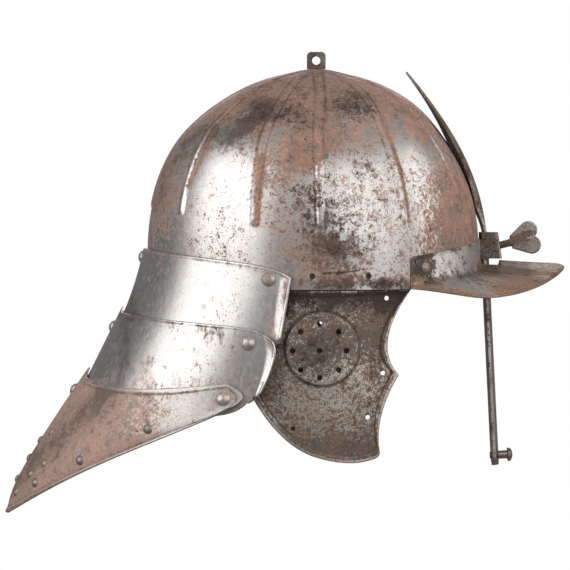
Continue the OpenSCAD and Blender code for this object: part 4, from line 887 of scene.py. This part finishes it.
# The same steel forged flat and keeled, stroked from brow to tip by hands: its brown film runs in streaks
# along the rim, the band's side is rubbed bright, and dark scale lies at the band's end.
peak_steel = worn("hammered peak steel", ("#b0aca8", "#cbc7c3", "#775640", "#a87448", "#2c2522"),
                  film=[0.07, ((96, -64, 27), 58, -0.21), ((70, -1), (150, 2), 9, 0.1),
                        ((62, 9), (140, 9), 8, 0.07), ((150, -30, 12), 34, -0.05)],
                  spots=[-0.01, ((66, -78, 18), 15, 0.22), ((110, -60, 8), 34, 0.07),
                         ((54, 24), (108, 36), 2.5, 0.06)],
                  shade=[-0.03, ((70, 8), (140, 16), 9, 0.08)],
                  rough=0.36, stretch=(0.35, 1.5, 1.8), seed=2.0,
                  dirt_and_shade=[edge_line(1.0, 2.0, 0.06), inner_face])

# Thinner hammered steel, ground smooth and kept bright where lame rubs on lame: nearly bare, with a filed
# bright edge, a brown line inside it, and brown towards the nape and the front ends only.
lame_steel = worn("ground lame steel", ("#b4b1ae", "#c8c5c2", "#80665a", "#a8795a", "#3d3633"),
                  film=[-0.06, ((-120, 29), (-24, 11), 3, 0.08), ((-134, -15), (-36, -31), 7, 0.05),
                        ((-90, -60, -22), 24, 0.02), ((-150, -60), (-60, -60), 20, 0.05),
                        ((-24, 8), (-36, -33), 7, 0.06), ((-34, -34), (-52, -72), 8, 0.06),
                        ((-126, -25, 10), 34, 0.06)],
                  specks=[-0.014, ((-70, -80, -50), 50, 0.02)], spots=[-0.05],
                  shade=[-0.05, ((-126, 0), (-132, -60), 12, 0.1), ((-134, -15), (-36, -31), 6, 0.06)],
                  rough=0.26, depth=0.06, stretch=(1, 1, 0.45), seed=4.0, film_mix=(0.25, 0.35, 0.25, 0.15),
                  film_cover=0.6, dirt_and_shade=[edge_line(0.3, 0.8, -0.2), edge_line(1.9, 1.2, 0.07), inner_face])

# The same steel left to weather at the point: an even brown film of fine scale, thin at the front and thick
# towards the tip, with a bright hem and a brown line inside it.
tail_steel = worn("weathered tail steel", ("#aaa6a3", "#c4c0bc", "#967262", "#b0856d", "#443a35"),
                  film=[0.15, ((-86, -98, -74), 84, -0.19)], specks=[-0.02], spots=[-0.06],
                  shade=[-0.04, ((-134, -58), (-230, -150), 14, 0.09), ((-140, -50, -72), 32, 0.07)],
                  rough=0.34, seed=6.0, film_mix=(0.14, 0.2, 0.36, 0.3), film_cover=0.78,
                  dirt_and_shade=[edge_line(1.4, 1.3, -0.2), edge_line(4.0, 1.4, 0.08), inner_face])

# Hammered steel that kept its black fire scale: a dark brown mottled skin with small pale rubbed parts,
# darkest along the top and round the roundel. Along the top the darkening is partly a browner film and partly
# painted shade under the bowl's rim, and a painted shadow runs beside the upper lame's flange. It hardly
# shines.
EAR_PLACE = (EAR[0], -95, EAR[1])
cheek_steel = worn("fire-blacked cheek steel", ("#c2b6aa", "#e6dcd1", "#3d2c22", "#6d4c37", "#1a1412"),
                   film=[0.055, ((6, -95, -66), 40, -0.035), ((-26, -98), (36, -102), 15, 0.07),
                         # The streak along the top on the next line is partly brown film and partly painted
                         # shade under the bowl's rim
                         ((57, 2), (-30, 2), 26, 0.06), (EAR_PLACE, 28, 0.08), ((34, -95, -26), 26, 0.09)],
                   specks=[0.01], spots=[-0.035, ((-6, -95, -12), 14, 0.08)],
                   # Painted shade: the first streak is the shade under the bowl's rim, the second the shadow
                   # beside the upper lame's flange
                   shade=[-0.04, ((57, 4), (-30, 4), 24, 0.16), ((-26, 4), (-48, -60), 12, 0.16),
                          (EAR_PLACE, 27, 0.07), ((40, 0), (34, -50), 14, 0.05)],
                   rough=0.42, depth=0.2, seed=8.0, film_mix=(0.08, 0.14, 0.42, 0.36), specular=0.2,
                   dirt_and_shade=[roundel_foot, edge_line(1.2, 1.4, -0.1), edge_line(5.0, 1.3, 0.07), inner_face])

# Rivets of soft steel, hammered over and dressed with the plates: smooth grey domes with a little brown
rivet_steel = worn("dressed rivet steel", ("#b3aba5", "#cec8c3", "#7c5f50", "#966a4b", "#443c37"),
                   film=[-0.02], specks=[-0.01], spots=[-0.06], rough=0.35, seed=9.0)

# The small rivets of the tail, left as they came from the hammer: darker and duller than the plate
tail_rivet = worn("undressed tail rivet steel", ("#8d8680", "#a59e98", "#6f564a", "#8a6552", "#2c2522"),
                  film=[0.0], specks=[-0.01], spots=[-0.05], rough=0.42, seed=14.0)

# A bar of wrought iron, forged and filed: an even grey-brown with fine dark pits, browner over the leaf
nasal_iron = worn("filed nasal iron", ("#918a84", "#b2aba5", "#634c3f", "#87624c", "#211c1a"),
                  film=[-0.01, ((95, 0, 100), 80, 0.16)], spots=[0.01],
                  shade=[-0.025, ((105, 0, 90), 60, 0.08)], rough=0.34, seed=11.0)

# Wrought iron black from the fire. Bright lines along the bracket's front and top edges are painted
# highlights, bare metal drawn where the bevels would catch the light
dark_iron = worn("fire-blacked iron", ("#7d7772", "#9d9791", "#493b32", "#634736", "#1f1b19"),
                 # The two negative streaks are painted highlights along the bracket's front and top edges
                 film=[0.05, ((122, 39.8), (124.3, 22.4), 1.3, -0.25), ((111, 39.8), (122, 39.8), 1.1, -0.2)],
                 spots=[0.02], rough=0.36, seed=10.0)

# Wrought iron filed all over and handled most: a smooth grey with a soft shine, brown towards the wings
screw_iron = worn("filed screw iron", ("#827c77", "#b0a9a3", "#5d483a", "#7a553c", "#2a2522"),
                  film=[0.0, ((124, 31), (144, 38.5), 3.6, 0.16)], spots=[0.01], shade=[-0.03], rough=0.27,
                  seed=12.0)

# Ox hide tanned in bark: a dull dark brown, mottled, with a pebble grain drawn 0.8 mm wide
hide = Finish("bark-tanned leather")
tan = hide.add("MapRange", SMOOTH, {0: hide.pattern(11, 4, 0.55), 1: 0.35, 2: 0.65})
hide_brown = hide.add("Mix", COLOUR, {0: tan, 6: linear("#3a281d"), 7: linear("#54392a")}, 2)
leather = hide.surface(hide_brown, 0.0, 0.7, hide.pattern(0.8, 4, 0.6), 0.25)


# Pieces

def dress(obj, material, body=None, node=None):
    """Gives a piece its material; a drawn one also gets its body, and the CAD node that it stands for is
    hidden.
    """
    obj.data.materials.clear()
    obj.data.materials.append(material)
    if body:
        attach(obj, body)
    if node:
        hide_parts(node)


finishes = {dark_iron: ("crown_loop", "nasal_bracket", "bracket_rivets", "lame_1_washer", "lame_2_washer",
                        "lame_3_washer"),
            screw_iron: ("nasal_knob",),
            rivet_steel: ("peak_rivets", "lame_1_pivots", "lame_2_pivots", "lame_3_pivots",
                          "lame_1_slide_rivet", "lame_2_slide_rivet", "lame_3_slide_rivet"),
            tail_rivet: ("border_rivets", "keel_rivets"),
            tail_steel: ("lining_rivets",),
            bowl_steel: ("strap_rivets",),
            cheek_steel: ("cheek_rivets_right", "cheek_rivets_left")}
for material, names in finishes.items():
    for name in names:
        dress(nodes[name], material)

dress(make_skull(), bowl_steel, "bowl", "skull")
dress(make_peak(), peak_steel, "bowl", "peak")
dress(make_nasal(), nasal_iron, "sliding_nasal", "nasal")
dress(make_lame(0, "first_lame"), lame_steel, "upper_lame", "lame_1")
dress(make_lame(1, "second_lame"), lame_steel, "middle_lame", "lame_2")
dress(make_lame(2, "tail_lame_plate"), tail_steel, "tail_lame", "lame_3")
for word, side in (("right", -1), ("left", 1)):
    cheek, strap = make_cheek(f"{word}_cheekpiece", side), make_strap(f"{word}_hanger", side)
    dress(cheek, cheek_steel, f"{word}_cheek", f"cheekpiece_{word}")
    dress(strap, leather, None, f"cheek_strap_{word}")
    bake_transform(strap)
shank, heart = make_screw()
dress(shank, screw_iron, "clamp_screw", "wing_screw")
dress(heart, screw_iron, "clamp_screw")

# Light and background: a warm white room that is a dim grey in the metal and white to the camera
scene = bpy.context.scene
scene.view_settings.view_transform = "Standard"
world = bpy.data.worlds.new("studio")
scene.world = world
world.use_nodes = True
tree = world.node_tree
tree.nodes.clear()
rays = tree.nodes.new("ShaderNodeLightPath")
out = tree.nodes.new("ShaderNodeOutputWorld")
last = None
for ray, colour, strength in ((None, (1.0, 0.985, 0.97, 1), 0.55),
                              ("Is Glossy Ray", (0.98, 0.98, 1.0, 1), 0.19),
                              ("Is Camera Ray", (1, 1, 1, 1), 1.0)):
    light = tree.nodes.new("ShaderNodeBackground")
    light.inputs[0].default_value, light.inputs[1].default_value = colour, strength
    if ray:
        choose = tree.nodes.new("ShaderNodeMixShader")
        tree.links.new(rays.outputs[ray], choose.inputs[0])
        tree.links.new(last, choose.inputs[1])
        tree.links.new(light.outputs[0], choose.inputs[2])
        last = choose.outputs[0]
    else:
        last = light.outputs[0]
tree.links.new(last, out.inputs[0])


def facing(place, target):
    """The turn that points an object's -Z from its place to a target."""
    return (Vector(target) - Vector(place)).to_track_quat("-Z", "Y").to_euler()


def lamp(name, place, height, wide, tall, power):
    """A soft rectangular lamp that faces the helmet's axis at a height, in metres and watts."""
    data = bpy.data.lights.new(name, "AREA")
    data.shape, data.size, data.size_y, data.energy = "RECTANGLE", wide, tall, power
    obj = bpy.data.objects.new(name, data)
    obj.location, obj.rotation_euler = place, facing(place, (0, 0, height))
    obj.visible_camera = False
    scene.collection.objects.link(obj)


lamp("left softbox", (-1.49, -0.9, 0.7), 0.03, 1.85, 1.9, 26)
lamp("right softbox", (1.0, -1.5, 0.75), 0.03, 1.5, 1.9, 16)
lamp("far right softbox", (1.75, -0.22, 0.6), 0.03, 1.1, 1.7, 12.5)
lamp("panel behind the camera", (0.15, -2.3, 1.0), 0.0, 1.5, 1.5, 4.2)
lamp("top softbox", (0.1, 0.2, 1.7), 0.05, 1.0, 1.0, 5)
lamp("far side light", (0.2, 1.6, 0.7), 0.0, 1.0, 1.0, 9)

# Camera. PIXEL is one pixel of the photograph at the middle plane, and its middle is given in such pixels.
PHOTO_PIXELS, PIXEL, MIDDLE_X, MIDDLE_Z, DISTANCE, SENSOR = 570, 0.68*MM, -33, 5, 2.2, 36
turn, rise = math.radians(-2.5), math.radians(1.25)
target = Vector((MIDDLE_X*PIXEL, 0, MIDDLE_Z*PIXEL))
away = Vector((math.sin(turn)*math.cos(rise), -math.cos(turn)*math.cos(rise), math.sin(rise)))
camera_data = bpy.data.cameras.new("camera")
camera_data.sensor_width = SENSOR
camera_data.lens = SENSOR*DISTANCE/(PHOTO_PIXELS*PIXEL)
camera = bpy.data.objects.new("camera", camera_data)
camera.location = target + DISTANCE*away
camera.rotation_euler = facing(camera.location, target)
scene.collection.objects.link(camera)
scene.camera = camera
